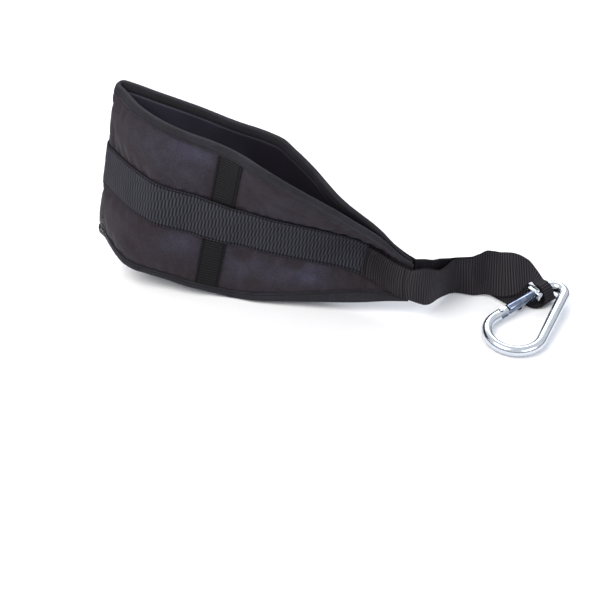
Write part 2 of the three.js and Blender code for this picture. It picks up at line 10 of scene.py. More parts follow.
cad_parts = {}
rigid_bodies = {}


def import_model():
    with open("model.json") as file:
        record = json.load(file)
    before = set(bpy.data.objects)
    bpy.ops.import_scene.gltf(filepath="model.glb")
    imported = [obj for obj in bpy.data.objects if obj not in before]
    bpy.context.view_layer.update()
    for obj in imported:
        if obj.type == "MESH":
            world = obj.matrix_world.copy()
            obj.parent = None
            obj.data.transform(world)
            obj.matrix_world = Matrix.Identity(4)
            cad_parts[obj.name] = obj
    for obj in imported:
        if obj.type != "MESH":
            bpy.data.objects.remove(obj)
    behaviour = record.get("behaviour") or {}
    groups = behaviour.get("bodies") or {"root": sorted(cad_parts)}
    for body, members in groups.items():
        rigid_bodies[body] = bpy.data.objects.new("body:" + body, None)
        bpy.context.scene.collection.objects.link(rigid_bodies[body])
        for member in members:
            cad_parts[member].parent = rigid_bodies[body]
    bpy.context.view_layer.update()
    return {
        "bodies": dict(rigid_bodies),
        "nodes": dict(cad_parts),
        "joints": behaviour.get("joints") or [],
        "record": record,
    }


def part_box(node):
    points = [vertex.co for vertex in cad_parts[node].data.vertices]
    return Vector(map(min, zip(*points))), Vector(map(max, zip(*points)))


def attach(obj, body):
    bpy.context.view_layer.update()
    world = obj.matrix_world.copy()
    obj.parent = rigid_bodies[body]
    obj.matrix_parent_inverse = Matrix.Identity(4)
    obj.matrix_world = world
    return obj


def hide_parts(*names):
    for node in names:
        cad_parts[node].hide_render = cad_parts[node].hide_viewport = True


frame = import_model()

bl_info = {
    "name": "Hanging Ab Strap",
    "version": (1, 0, 0),
    "blender": (4, 5, 0),
    "location": "View3D > Sidebar > Ab Strap",
    "description": "Models the cloth, webbing and hook of a hanging ab strap",
    "category": "Object",
}

MM = 0.001
WEBBING_WIDTH = 50 * MM


def length(name, description, millimetres):
    return bpy.props.FloatProperty(
        name=name, description=description, default=millimetres * MM, unit="LENGTH", precision=5
    )


def hex_rgb(code):
    return tuple(int(code[i : i + 2], 16) / 255 for i in (1, 3, 5))


def colour(name, description, code):
    return bpy.props.FloatVectorProperty(
        name=name, description=description, default=hex_rgb(code), subtype="COLOR_GAMMA", size=3, min=0, max=1
    )


class SleeveSettings(bpy.types.PropertyGroup):
    crown: length("Crown", "How far the foam swells between two seams", 1.3)
    pucker: length("Pucker", "Height of the small puckers beside a seam", 0.45)
    pucker_pitch: length("Pucker pitch", "Distance from one pucker to the next", 15)
    sag: length("Sag", "Height of the broad soft dents in the panels", 1.1)
    hem_puff: length("Hem puff", "How far the turned hem swells between its edge and its stitches", 0.3)
    most_rise: length("Most rise", "Most that the simulated cloth may rise off the foam", 3.2)
    foam_pressure: bpy.props.FloatProperty(
        name="Foam pressure", description="How hard the foam presses on the simulated cloth", default=4
    )
    neck_reach: length("Neck reach", "How far from each end the cloth is drawn down to the webbing", 75)
    neck_pinch: bpy.props.FloatProperty(
        name="Neck pinch", description="Share of the cloth above the webbing that is drawn in", default=0.6
    )
    cloth_colour: colour("Cloth", "Charcoal cloth in flat light", "#2a2328")
    hem_colour: colour("Hem colour", "The cloth of the turned hems, which lies flatter", "#212024")
    # The sheen colour is painted sheen: the cloth drawn bluish where light would glance off it
    painted_sheen_colour: colour("Cloth sheen", "The same cloth where its nap is brushed", "#393747")
    lining_colour: colour("Lining", "Dark lining cloth", "#141118")


class WebbingSettings(bpy.types.PropertyGroup):
    # The real ribs are about half as wide, so they are drawn at pitches that show in the render
    rib_pitch: length("Rib pitch", "Distance from one rib to the next along the sleeve's webbing", 3.6)
    strap_pitch: length("Strap rib pitch", "The same distance on the strap", 2.8)
    rib_height: length("Rib height", "Height of a rib above the gaps beside it", 0.4)
    rib_length: length("Rib length", "Length of a rib across the sleeve's webbing", 12)
    strap_rib: length("Strap rib length", "The same length on the strap, whose ribs run nearly straight", 70)
    strip_pitch: length("Strip rib pitch", "Distance between the fine ribs of the narrow strip", 3.2)
    seam_depth: length("Seam depth", "How deep a row of stitches sinks into the webbing", 0.3)
    rib_colour: colour("Ribs", "Crest of the webbing's ribs", "#3a3a43")
    # The groove colour is painted shade: the weave's low parts drawn darker than its crests
    groove_shade_colour: colour("Grooves", "Gap between the ribs", "#100f14")
    strip_colour: colour("Strip", "Narrow strip", "#100f13")


class StitchSettings(bpy.types.PropertyGroup):
    stitch: length("Stitch", "Length of one stitch", 3.0)
    gap: length("Gap", "Gap between two stitches", 0.8)
    thread: length("Thread", "Thickness of the sewing thread", 0.7)
    inset: length("Inset", "Distance of a seam from the edge that it holds", 2.4)
    thread_colour: colour("Thread", "Sewing thread", "#0c0b0e")


class HookSettings(bpy.types.PropertyGroup):
    long: length("Length", "Overall length of the snap hook", 129)
    wide: length("Width", "Overall width at the wide bow", 69)
    wire: length("Wire", "Diameter of the bow's wire", 11.5)
    head_wire: length("Head wire", "Diameter of the forged head", 12.4)
    narrow_radius: length("Narrow radius", "Radius of the narrow bow's centre line", 12)
    gate_wire: length("Gate wire", "Diameter of the gate", 10.6)
    gate_pivot: length("Gate pivot", "Distance of the rivet from the wide bow's end", 10)
    gate_length: length("Gate length", "Length of the gate from its rivet", 46.4)
    nose_width: length("Nose width", "Width of the nose across the gate", 18)
    nose_length: length("Nose length", "Length of the nose along the gate", 6)
    nose_thickness: length("Nose thickness", "Thickness of the nose", 9)
    blade_length: length("Blade length", "Length of the blade that the gate closes over", 7)
    blade_thickness: length("Blade thickness", "Thickness of blade and tongue", 4)
    rivet: length("Rivet", "Diameter of the rivet's shank", 4)
    rivet_head: length("Rivet head", "Diameter of the rivet's heads", 7.5)
    clearance: length("Clearance", "Running clearance between gate and body", 0.4)
    zinc_colour: colour("Zinc", "Bright zinc plating", "#d5d8dc")
    # The gate's darker colour and its dark bluish cloud are painted shade and painted reflection of the strap
    # that hangs over it
    gate_shade_colour: colour("Gate zinc", "The gate's duller plating", "#8c96a8")


class StudioSettings(bpy.types.PropertyGroup):
    focal_length: bpy.props.FloatProperty(
        name="Focal length", description="Lens for a 36 mm wide sensor", default=55.26, unit="CAMERA"
    )
    distance: length("Distance", "From the camera to the floor point that it looks at", 1020)
    elevation: bpy.props.FloatProperty(
        name="Elevation",
        description="Camera's angle above the floor",
        default=math.radians(38),
        subtype="ANGLE",
    )
    aim_x: length("Aim X", "Floor point in the middle of the view", -31)
    aim_y: length("Aim Y", "Floor point in the middle of the view", -0.7)
    floor_colour: colour("Floor", "Pale studio floor", "#f4f4f5")


def settings(name):
    return getattr(bpy.context.scene, name)


def deselect():
    for thing in list(bpy.context.selected_objects):
        thing.select_set(False)


# Cross sections read back from the frame

# How squarely an end's faces look along the band, and how near two corners are that count as one
SQUARE_ENOUGH, SAME_CORNER = 0.7, 0.01 * MM


def end_faces(mesh, way, corners):
    """Groups of joined faces that look along a direction and together have the given number of corners."""
    facing = {face for face in mesh.faces if face.normal.dot(way) > SQUARE_ENOUGH}
    groups = []
    while facing:
        reach = [facing.pop()]
        group = set(reach)
        while reach:
            for edge in reach.pop().edges:
                for face in edge.link_faces:
                    if face in facing:
                        facing.discard(face)
                        group.add(face)
                        reach.append(face)
        if len({corner for face in group for corner in face.verts}) == corners:
            groups.append(group)
    return groups


def ring_order(ring, neighbours, start, second):
    order = [start, second]
    while len(order) < len(ring):
        order.append(next(v for v in neighbours[order[-1]] if v is not order[-2]))
    return order


def ring_links(ring, end):
    """For each corner of a ring, its two neighbours in it. Edges inside the end's own faces don't count."""
    links = {corner: [] for corner in ring}
    for corner in ring:
        for edge in corner.link_edges:
            other = edge.other_vert(corner)
            if other in links and not all(face in end for face in edge.link_faces):
                links[corner].append(other)
    return links


def first_ring(end, outer_first):
    """The end's corners in order: up one face of the band and down the other."""
    ring = {corner for face in end for corner in face.verts}
    links = ring_links(ring, end)
    shared = {corner: sum(face in end for face in corner.link_faces) for corner in ring}
    tips = sorted((corner for corner in ring if shared[corner] == 1), key=outer_first)
    last = tips[0]
    start = min(links[last], key=lambda corner: shared[corner])
    second = next(v for v in links[start] if v is not last)
    return ring_order(ring, links, start, second)


def next_ring(ring, before):
    """The ring after one, turned and directed so that its corners continue the ones before."""
    reached = {edge.other_vert(corner) for corner in ring for edge in corner.link_edges} - set(ring) - before
    inside = {face for corner in reached for face in corner.link_faces if set(face.verts) <= reached}
    links = ring_links(reached, inside)
    start = next(iter(reached))
    order = ring_order(reached, links, start, links[start][0])
    joined = [{edge.other_vert(corner) for edge in corner.link_edges} for corner in ring]
    for path in (order, order[::-1]):
        for turn in range(len(path)):
            turned = path[turn:] + path[:turn]
            if all(corner in partners for corner, partners in zip(turned, joined)):
                return turned
    raise RuntimeError("the next section's corners don't pair with the ones before")


def sections(node, corners, way=(1, 0, 0), outer_first=lambda corner: corner.co.z):
    """A node's cross sections from its nearer end on, as an array of places: [section][corner][axis]."""
    mesh = bmesh.new()
    mesh.from_mesh(frame["nodes"][node].data)
    bmesh.ops.remove_doubles(mesh, verts=mesh.verts, dist=SAME_CORNER)
    mesh.normal_update()
    ends = end_faces(mesh, Vector(way), corners)
    if not ends:
        raise RuntimeError(f"{node}: no end with {corners} corners")

    def depth(end):
        return (sum((face.calc_center_median() for face in end), Vector()) / len(end)).y

    ring = first_ring(min(ends, key=depth), outer_first)
    rings, before = [ring], set()
    while sum(len(found) for found in rings) < len(mesh.verts):
        following = next_ring(rings[-1], before)
        before = set(rings[-1])
        rings.append(following)
    places = np.array([[corner.co[:] for corner in found] for found in rings])
    mesh.free()
    return places


# Smooth surfaces through the cross sections

def hermite(knots, values, at):
    """A smooth curve through values at their knots."""
    step = np.diff(knots)
    shape = (-1,) + (1,) * (values.ndim - 1)
    slope = np.diff(values, axis=0) / step.reshape(shape)
    before, after = step[:-1].reshape(shape), step[1:].reshape(shape)
    inner = (after * slope[:-1] + before * slope[1:]) / (before + after)
    tangent = np.concatenate([slope[:1], inner, slope[-1:]])
    low = np.clip(np.searchsorted(knots, at, side="right") - 1, 0, len(knots) - 2)
    share = ((at - knots[low]) / step[low]).reshape(shape)
    span = step[low].reshape(shape)
    a = 2 * share**3 - 3 * share**2 + 1
    b = share**3 - 2 * share**2 + share
    c = -2 * share**3 + 3 * share**2
    d = share**3 - share**2
    return a * values[low] + b * span * tangent[low] + c * values[low + 1] + d * span * tangent[low + 1]


def read_line(at, knots, line):
    """A line of places or ways, read at the given knots."""
    return np.stack([np.interp(at, knots, line[:, k]) for k in range(3)], -1)


def travelled(points):
    """Distance along a line of points, from 0, always growing."""
    step = np.linalg.norm(np.diff(points, axis=0), axis=-1)
    return np.concatenate([[0], np.cumsum(np.maximum(step, 1e-6))])


def travelled_rows(grid):
    """Distance across each section of a grid from its first row."""
    step = np.linalg.norm(np.diff(grid, axis=1), axis=-1)
    return np.concatenate([np.zeros((len(step), 1)), np.cumsum(step, axis=1)], axis=1)


def even_steps(total, step):
    """Distances from 0 to a total, in even steps of about the given length."""
    return np.linspace(0, total, max(2, round(total / step)) + 1)


def refine_along(places, step):
    """Sections of a band, set closer together along it."""
    knots = travelled(places.mean(axis=1))
    at = even_steps(knots[-1], step)
    return hermite(knots, places, at), at


class Surface:
    """A band's middle surface as a fine grid, with its half thickness, its ways out, its lengths along and
    across, and its last row as it first lay."""

    def __init__(self, places, step, shares):
        faces = places.shape[1] // 2
        inner, outer = places[:, :faces], places[:, faces:][:, ::-1]
        middle, half = (inner + outer) / 2, (outer - inner) / 2
        stacked = np.concatenate([middle, half], axis=2)
        knots = travelled(middle[:, middle.shape[1] // 2])
        self.along = even_steps(knots[-1], step)
        rows = []
        whole = np.arange(middle.shape[1])
        for section, wall in zip(middle, stacked):
            row_knots = travelled(section)
            rows.append(hermite(row_knots, wall, np.interp(shares, whole, row_knots)))
        fine = hermite(knots, np.array(rows), self.along)
        self.middle = fine[..., :3]
        self.half = np.linalg.norm(fine[..., 3:], axis=-1)
        self.shares = shares
        across = np.gradient(self.middle, axis=1)
        forward = np.gradient(self.middle, axis=0)
        out = np.cross(forward, across)
        out /= np.maximum(np.linalg.norm(out, axis=-1, keepdims=True), 1e-12)
        sign = np.sign((out * fine[..., 3:]).sum())
        self.out = out * sign
        self.across = self.row_distances()
        self.first_rim = self.middle[:, -1].copy()

    def row_distances(self):
        """Distance across the band from its middle row, at each place of the grid."""
        total = travelled_rows(self.middle)
        centre = np.array([np.interp(self.shares[-1] / 2, self.shares, row) for row in total])
        return total - centre[:, None]

    def distance_to_edge(self):
        """Distance from the nearer long edge, at each place of the grid."""
        return np.minimum(self.across - self.across[:, :1], self.across[:, -1:] - self.across)

    def distance_to_end(self):
        """Distance from the nearer end of the band, at each step along it."""
        return np.minimum(self.along, self.along[-1] - self.along)

    def distance_to(self, share):
        """Signed distance across the band from the row at a share, at each place of the grid."""
        line = np.array([np.interp(share, self.shares, row) for row in self.across])
        return self.across - line[:, None]

    def lay(self, share, offset, start=0, stop=None):
        """A line along the band at a row's share, lifted off its outer face, with the way out there."""
        picked = slice(start, stop)
        line = np.array([read_line(share, self.shares, row) for row in self.middle[picked]])
        out = np.array([read_line(share, self.shares, row) for row in self.out[picked]])
        half = np.array([np.interp(share, self.shares, row) for row in self.half[picked]])
        return line + out * (half + offset)[:, None], out


def edge_profile(distance, radius):
    """Share of a wall's half thickness near its edge: a rounded selvedge, at its thinnest a third."""
    inside = np.clip(distance / radius, 0, 1)
    thinnest = 0.12
    return np.sqrt(np.maximum(thinnest, 1 - (1 - inside) ** 2))


def eased(share):
    """A share from 0 to 1 that starts and ends gently."""
    inside = np.clip(share, 0, 1)
    return inside * inside * (3 - 2 * inside)


# Meshes

def mesh_object(name, vertices, faces, uvs=None, fields=None):
    """A smooth mesh piece, with its lengths as UVs and its fields as attributes."""
    data = bpy.data.meshes.new(name)
    data.from_pydata(vertices.tolist(), [], faces)
    if uvs is not None:
        layer = data.uv_layers.new(name="length_and_width")
        corners = np.zeros(len(data.loops), int)
        data.loops.foreach_get("vertex_index", corners)
        layer.data.foreach_set("uv", uvs[corners].astype(np.float32).ravel())
    for field, values in (fields or {}).items():
        attribute = data.attributes.new(field, "FLOAT", "POINT")
        attribute.data.foreach_set("value", values.astype(np.float32).ravel())
    made = bpy.data.objects.new(name, data)
    bpy.context.scene.collection.objects.link(made)
    data.shade_smooth()
    return made


def inside_out(vertices, quads):
    """Whether the faces of a closed shell look inwards."""
    a, b, c, d = (vertices[quads[:, k]] for k in range(4))
    return (np.cross(b, c) * a).sum() + (np.cross(c, d) * a).sum() < 0


def band_uv(along, across):
    """A band's own two lengths, as UVs."""
    return np.stack([np.broadcast_to(along[:, None], across.shape), across], -1)


def grid_quads(place):
    """The faces between the places of a grid."""
    return np.stack([place[:-1, :-1], place[1:, :-1], place[1:, 1:], place[:-1, 1:]], -1).reshape(-1, 4)


def slab(name, surface, outer, inner, fields):
    """A closed wall between two grids of places on a surface, with its lengths and fields on both faces."""
    count, rows = outer.shape[:2]
    place = np.arange(count * rows).reshape(count, rows)
    quads = [grid_quads(place), grid_quads(place + count * rows)[:, [0, 3, 2, 1]]]
    rim = np.concatenate([place[:, 0], place[-1, 1:], place[-2::-1, -1], place[0, -2:0:-1]])
    after = np.roll(rim, -1)
    size = count * rows
    quads.append(np.stack([rim, rim + size, after + size, after], -1))
    faces = np.concatenate(quads)
    vertices = np.concatenate([outer.reshape(-1, 3), inner.reshape(-1, 3)])
    if inside_out(vertices, faces):
        faces = faces[:, ::-1]
    flat = band_uv(surface.along, surface.across).reshape(-1, 2)
    both = {field: np.concatenate([values.ravel()] * 2) for field, values in fields.items()}
    return mesh_object(name, vertices, faces.tolist(), np.concatenate([flat, flat]), both)


def tube(name, sections_in_order, uv, fields):
    """A closed body skinned over closed sections, its two ends filled."""
    count, corners = sections_in_order.shape[:2]
    place = np.arange(count * corners).reshape(count, corners)
    after = np.roll(place, -1, axis=1)
    quads = np.stack([place[:-1], place[1:], after[1:], after[:-1]], -1).reshape(-1, 4)
    vertices = sections_in_order.reshape(-1, 3)
    flip = inside_out(vertices, quads)
    if flip:
        quads = quads[:, ::-1]
    ends = [place[0].tolist(), place[-1][::-1].tolist()]
    if flip:
        ends = [end[::-1] for end in ends]
    flat = {field: values.ravel() for field, values in fields.items()}
    return mesh_object(name, vertices, quads.tolist() + ends, uv.reshape(-1, 2), flat)


def smooth_noise(places, size, seed):
    """Soft noise from -1 to 1 at each place, with dents of about the given size, shifted by the seed."""
    shift = Vector((seed * 7.3, seed * 3.1, seed * 5.7))
    flat = places.reshape(-1, 3) / size
    values = [noise.noise(Vector(place) + shift) for place in flat]
    return np.array(values).reshape(places.shape[:-1])


def finish_piece(piece, body, nodes, material):
    """Dresses a piece, carries it on its body and puts it in the place of its nodes."""
    piece.data.materials.clear()
    piece.data.materials.append(material)
    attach(piece, body)
    if nodes:
        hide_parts(*nodes)
    return piece


# Materials

def linear(code):
    """Scene-linear colour from an sRGB hex value or from sRGB shares."""
    shares = hex_rgb(code) if isinstance(code, str) else tuple(code)
    return tuple(c / 12.92 if c <= 0.04045 else ((c + 0.055) / 1.055) ** 2.4 for c in shares) + (1.0,)


def grey(value):
    return (value, value, value, 1)


def feed(tree, node, inputs):
    """Sets a node's inputs; an input is a value or another node's output."""
    for socket, value in inputs.items():
        if isinstance(value, bpy.types.NodeSocket):
            tree.links.new(value, node.inputs[socket])
        else:
            node.inputs[socket].default_value = value


def add(tree, kind, inputs, stops=(), **options):
    """Adds a node with its options, its inputs and, on a colour ramp, its stops."""
    node = tree.nodes.new(kind)
    for option, value in options.items():
        setattr(node, option, value)
    feed(tree, node, inputs)
    if stops:
        elements = node.color_ramp.elements
        while len(elements) < len(stops):
            elements.new(0.5)
        for element, (place, tint) in zip(elements, stops):
            element.position = place
            element.color = tint
    return node


def new_material(name):
    """A new material with its nodes and its shader, or the one of that name without them."""
    material = bpy.data.materials.get(name)
    if material:
        return material, None, None
    material = bpy.data.materials.new(name)
    material.use_nodes = True
    tree = material.node_tree
    return material, tree, tree.nodes["Principled BSDF"]


def cloth_weave(tree, thread):
    """Height of a plain weave whose threads are the given width, on the piece's own lengths."""
    # Real threads are about 0.3 mm wide, and they are drawn two or three times as wide so that they show
    lengths = add(tree, "ShaderNodeUVMap", {}, uv_map="length_and_width").outputs["UV"]
    split = add(tree, "ShaderNodeSeparateXYZ", {"Vector": lengths})
    waves = []
    for axis in ("X", "Y"):
        inputs = {0: split.outputs[axis], 1: math.pi / thread}
        turns = add(tree, "ShaderNodeMath", inputs, operation="MULTIPLY").outputs[0]
        waves.append(add(tree, "ShaderNodeMath", {0: turns}, operation="SINE").outputs[0])
    return add(tree, "ShaderNodeMath", {0: waves[0], 1: waves[1]}, operation="MULTIPLY").outputs[0]


def clouds(tree, size, detail=2.0, roughness=0.5, distortion=0.0):
    """Soft noise from 0 to 1 that is fixed to the piece, with patches of about the given size."""
    place = add(tree, "ShaderNodeTexCoord", {}).outputs["Object"]
    inputs = {"Vector": place, "Scale": 1 / size, "Detail": detail, "Roughness": roughness}
    inputs["Distortion"] = distortion
    return add(tree, "ShaderNodeTexNoise", inputs).outputs["Fac"]


def polyester_oxford(name, cloth_colour):
    """Polyester oxford: a brownish charcoal with a fine grain, drawn bluish in patches of painted sheen and
    in a random cloudy tone.
    """
    material, tree, shader = new_material(name)
    if tree is None:
        return material
    # Painted sheen from the panel's patches, plus a random cloudy tone, picks between the plain and the sheen
    # colour
    painted_sheen = add(tree, "ShaderNodeAttribute", {}, attribute_name="painted_sheen").outputs["Fac"]
    patches = clouds(tree, 26 * MM, 4, 0.6, 0.3)
    limits = {"Value": patches, "From Min": 0.35, "From Max": 0.75, "To Min": -0.05, "To Max": 0.22}
    drift = add(tree, "ShaderNodeMapRange", limits).outputs[0]
    sheen_and_tone = add(tree, "ShaderNodeMath", {0: painted_sheen, 1: drift}, operation="ADD", use_clamp=True).outputs[0]
    tones = [(0.0, linear(cloth_colour)), (1.0, linear(settings("sleeve_settings").painted_sheen_colour))]
    base = add(tree, "ShaderNodeValToRGB", {"Fac": sheen_and_tone}, tones).outputs["Color"]
    # The real threads are finer than the render shows, so the grain is drawn at 1.7 mm
    grain = clouds(tree, 1.7 * MM, 3, 0.7)
    tones = [(0.32, grey(0.62)), (0.68, grey(1.14))]
    speckle = add(tree, "ShaderNodeValToRGB", {"Fac": grain}, tones).outputs["Color"]
    inputs = {"Factor": 1.0, "A": base, "B": speckle}
    woven = add(tree, "ShaderNodeMix", inputs, data_type="RGBA", blend_type="MULTIPLY").outputs["Result"]
    # Rubbed places show pale specks of lint
    rub = add(tree, "ShaderNodeAttribute", {}, attribute_name="wear").outputs["Fac"]
    tones = [(0.5, grey(0)), (0.62, grey(1))]
    specks = add(tree, "ShaderNodeValToRGB", {"Fac": clouds(tree, 2.4 * MM, 4, 0.7)}, tones).outputs["Color"]
    worn = add(tree, "ShaderNodeMath", {0: rub, 1: specks}, operation="MULTIPLY").outputs[0]
    inputs = {"Factor": worn, "A": woven, "B": linear("#8f8d93")}
    mixed = add(tree, "ShaderNodeMix", inputs, data_type="RGBA").outputs["Result"]
    rough = add(tree, "ShaderNodeValToRGB", {"Fac": sheen_and_tone}, [(0.0, grey(0.8)), (1.0, grey(0.55))])
    inputs = {"Height": cloth_weave(tree, 0.9 * MM), "Strength": 0.35, "Distance": 0.08 * MM}
    cloth = add(tree, "ShaderNodeBump", inputs).outputs["Normal"]
    inputs = {"Height": grain, "Strength": 0.7, "Distance": 0.3 * MM, "Normal": cloth}
    looks = {
        "Base Color": mixed,
        "Roughness": rough.outputs["Color"],
        "Specular IOR Level": 0.22,
        "Sheen Weight": 0.12,
        "Sheen Roughness": 0.45,
        "Sheen Tint": linear("#8d8fa3"),
        "Normal": add(tree, "ShaderNodeBump", inputs).outputs["Normal"],
    }
    feed(tree, shader, looks)
    return material


def lining_taffeta():
    """Smooth dark lining taffeta: nearly black with a faint violet sheen, and painted light where it is drawn
    brighter.
    """
    material, tree, shader = new_material("lining_taffeta")
    if tree is None:
        return material
    patches = clouds(tree, 55 * MM, 3, 0.5, 0.5)
    tones = [(0.35, linear(settings("sleeve_settings").lining_colour)), (0.7, linear("#1e1b25"))]
    base = add(tree, "ShaderNodeValToRGB", {"Fac": patches}, tones).outputs["Color"]
    # Painted light, mixed towards a pale violet grey
    painted_light = add(tree, "ShaderNodeAttribute", {}, attribute_name="painted_light").outputs["Fac"]
    inputs = {"Factor": painted_light, "A": base, "B": linear("#34333f")}
    mixed = add(tree, "ShaderNodeMix", inputs, data_type="RGBA").outputs["Result"]
    inputs = {"Height": cloth_weave(tree, 0.8 * MM), "Strength": 0.3, "Distance": 0.05 * MM}
    looks = {
        "Base Color": mixed,
        "Roughness": 0.6,
        "Specular IOR Level": 0.2,
        "Sheen Weight": 0.12,
        "Sheen Roughness": 0.4,
        "Sheen Tint": linear("#77748c"),
        "Normal": add(tree, "ShaderNodeBump", inputs).outputs["Normal"],
    }
    feed(tree, shader, looks)
    return material


def woven_webbing(name, crest, groove_shade):
    """Woven polypropylene: ribs drawn lighter on their crests over grooves drawn darker as painted shade,
    with fine threads along each rib.
    """
    material, tree, shader = new_material(name)
    if tree is None:
        return material
    rib = add(tree, "ShaderNodeAttribute", {}, attribute_name="rib").outputs["Fac"]
    # Painted shade: the rib field turns the grooves darker than the crests
    tones = [(0.1, linear(groove_shade)), (0.85, linear(crest))]
    tone = add(tree, "ShaderNodeValToRGB", {"Fac": rib}, tones).outputs["Color"]
    tones = [(0.3, (0.78, 0.76, 0.78, 1)), (0.7, grey(1))]
    shade = add(tree, "ShaderNodeValToRGB", {"Fac": clouds(tree, 45 * MM, 3, 0.6)}, tones).outputs["Color"]
    inputs = {"Factor": 1.0, "A": tone, "B": shade}
    mixed = add(tree, "ShaderNodeMix", inputs, data_type="RGBA", blend_type="MULTIPLY").outputs["Result"]
    rough = add(tree, "ShaderNodeValToRGB", {"Fac": rib}, [(0.0, grey(0.85)), (1.0, grey(0.5))])
    inputs = {"Height": cloth_weave(tree, 0.6 * MM), "Strength": 0.4, "Distance": 0.08 * MM}
    looks = {
        "Base Color": mixed,
        "Roughness": rough.outputs["Color"],
        "Specular IOR Level": 0.2,
        "Normal": add(tree, "ShaderNodeBump", inputs).outputs["Normal"],
    }
    feed(tree, shader, looks)
    return material


def sewing_thread():
    """Bonded polyester thread: dark and nearly matt, with a slight twist."""
    material, tree, shader = new_material("bonded_polyester_thread")
    if tree is None:
        return material
    tones = [(0.3, linear(settings("stitch_settings").thread_colour)), (0.7, linear("#17161a"))]
    twist = add(tree, "ShaderNodeValToRGB", {"Fac": clouds(tree, 0.5 * MM)}, tones).outputs["Color"]
    feed(tree, shader, {"Base Color": twist, "Roughness": 0.8, "Specular IOR Level": 0.08})
    return material


def zinc_plate(name, tone, cloud_and_painted_streaks):
    """Zinc plate over forged steel: a cool, slightly cloudy mirror with faint drawing marks; a dark second
    colour turns the cloud into painted streaks of reflection.
    """
    material, tree, shader = new_material(name)
    if tree is None:
        return material
    cloud = clouds(tree, 9 * MM, 4, 0.6, 0.3)
    tones = [(0.3, linear(tone)), (0.75, linear(cloud_and_painted_streaks))]
    base = add(tree, "ShaderNodeValToRGB", {"Fac": cloud}, tones).outputs["Color"]
    rough = add(tree, "ShaderNodeValToRGB", {"Fac": cloud}, [(0.3, grey(0.13)), (0.75, grey(0.24))])
    inputs = {"Height": clouds(tree, 1.6 * MM, 5, 0.65), "Strength": 0.12, "Distance": 0.1 * MM}
    looks = {
        "Base Color": base,
        "Metallic": 1.0,
        "Roughness": rough.outputs["Color"],
        "Normal": add(tree, "ShaderNodeBump", inputs).outputs["Normal"],
    }
    feed(tree, shader, looks)
    return material


def studio_paper():
    """Matt studio paper: pale, even and without gloss."""
    material, tree, shader = new_material("studio_paper")
    if tree is None:
        return material
    paper = linear(settings("studio_settings").floor_colour)
    feed(tree, shader, {"Base Color": paper, "Roughness": 0.9, "Specular IOR Level": 0.1})
    return material


# The sleeve's cloth

def subdivided(pieces):
    """Row shares, with the given number of steps between each row and the next."""
    shares = [0.0]
    for row, steps in enumerate(pieces):
        shares.extend(row + (i + 1) / steps for i in range(steps))
    return np.array(shares)


def webbing_rows():
    """Row shares across a webbing of four spans: close at both selvedges, even between."""
    # Counted in millimetres first
    selvedge = [0, 0.5, 1.1, 1.8, 2.4, 3.0, 3.7]
    wide = WEBBING_WIDTH / MM
    even = np.linspace(5, wide - 5, 25)
    across = np.array(selvedge + list(even) + [wide - place for place in reversed(selvedge)])
    return across / wide * WEBBING_SPANS


# The rows of each band's section as the frame has them, counted up from its lower edge
WEBBING_SPANS = 4
PAD_SEAMS = {"lower_hem": 1, "webbing_low": 3, "webbing_high": 7, "upper_hem": 9}
FREE_CLOTH = (
    (PAD_SEAMS["lower_hem"], PAD_SEAMS["webbing_low"]),
    (PAD_SEAMS["webbing_high"], PAD_SEAMS["upper_hem"]),
)
PINCHED = {"sleeve_pad": PAD_SEAMS["webbing_high"], "sleeve_lining": 6}

# For each band: the corners of its section, the step along it and its rows
STRIP = (18, 0.8 * MM, subdivided([70, 70, 14, 14, 14, 14, 70, 70]))
BANDS = {
    "sleeve_pad": (22, 2.2 * MM, subdivided([4, 10, 10, 4, 4, 4, 4, 10, 10, 4])),
    "sleeve_lining": (18, 2.5 * MM, subdivided([10, 10, 4, 4, 4, 4, 10, 10])),
    "cross_strip_near": STRIP,
    "cross_strip_far": STRIP,
    "main_webbing": (10, 0.7 * MM, webbing_rows()),
    "strap_loop": (10, 0.6 * MM, webbing_rows()),
}
HEM_CORNERS, HEM_STEP = 12, 2.2 * MM
# Corners of a hem's section: its two feet, the turns above them, the two beside its crest and its inner skin
HEM_FEET, HEM_TURNS, HEM_CREST, HEM_SKIN = (11, 6), (10, 7), (8, 9), (5, 4, 3, 2, 1, 0)
STRIPS = ("cross_strip_near", "cross_strip_far")
HEMS = ("top_hem", "bottom_hem")
# How far puckers reach from a seam, how far a strip presses the cloth down beside its middle and beyond,
# and over what distance from the fold the cloth and the ribs are rubbed
PUCKER_REACH = 9 * MM
STRIP_PRESS, STRIP_FADE = 14 * MM, 9 * MM
FOLD_WEAR, RIB_WEAR_START, RIB_WEAR_FADE = 18 * MM, 40 * MM, 45 * MM
# The cloth simulation: its frames, its slack and how far it may sink, as a share of how far it may rise
SPRING_FRAMES, SLACK, SINK_SHARE = 20, 0.03, 0.4
# The top hem's width at its ends, as a share, and where its full width starts
HEM_END_WIDTH, HEM_TAPER = 0.45, 45 * MM
SURFACES = {}


def pinch(surface, seam):
    """Draws the cloth above a seam down towards it at both ends, where the neck is gathered."""
    sleeve = settings("sleeve_settings")
    keep = 1 - sleeve.neck_pinch * (1 - eased(surface.distance_to_end() / sleeve.neck_reach))
    for i, share in enumerate(keep):
        above = surface.shares > seam
        rows = np.where(above, seam + (surface.shares - seam) * share, surface.shares)
        for field in (surface.middle[i], surface.out[i]):
            field[:] = read_line(rows, surface.shares, field)
        surface.half[i] = np.interp(rows, surface.shares, surface.half[i])
    surface.across = surface.row_distances()


def surface_of(node):
    """A band node's surface. The strap starts away from the neck, so its sections are turned round."""
    if node not in SURFACES:
        corners, step, shares = BANDS[node]
        if node == "strap_loop":
            places = sections(node, corners, way=(-1, 0, 0))[:, ::-1]
        else:
            places = sections(node, corners)
        SURFACES[node] = Surface(places, step, shares)
        if node in PINCHED:
            pinch(SURFACES[node], PINCHED[node])
    return SURFACES[node]


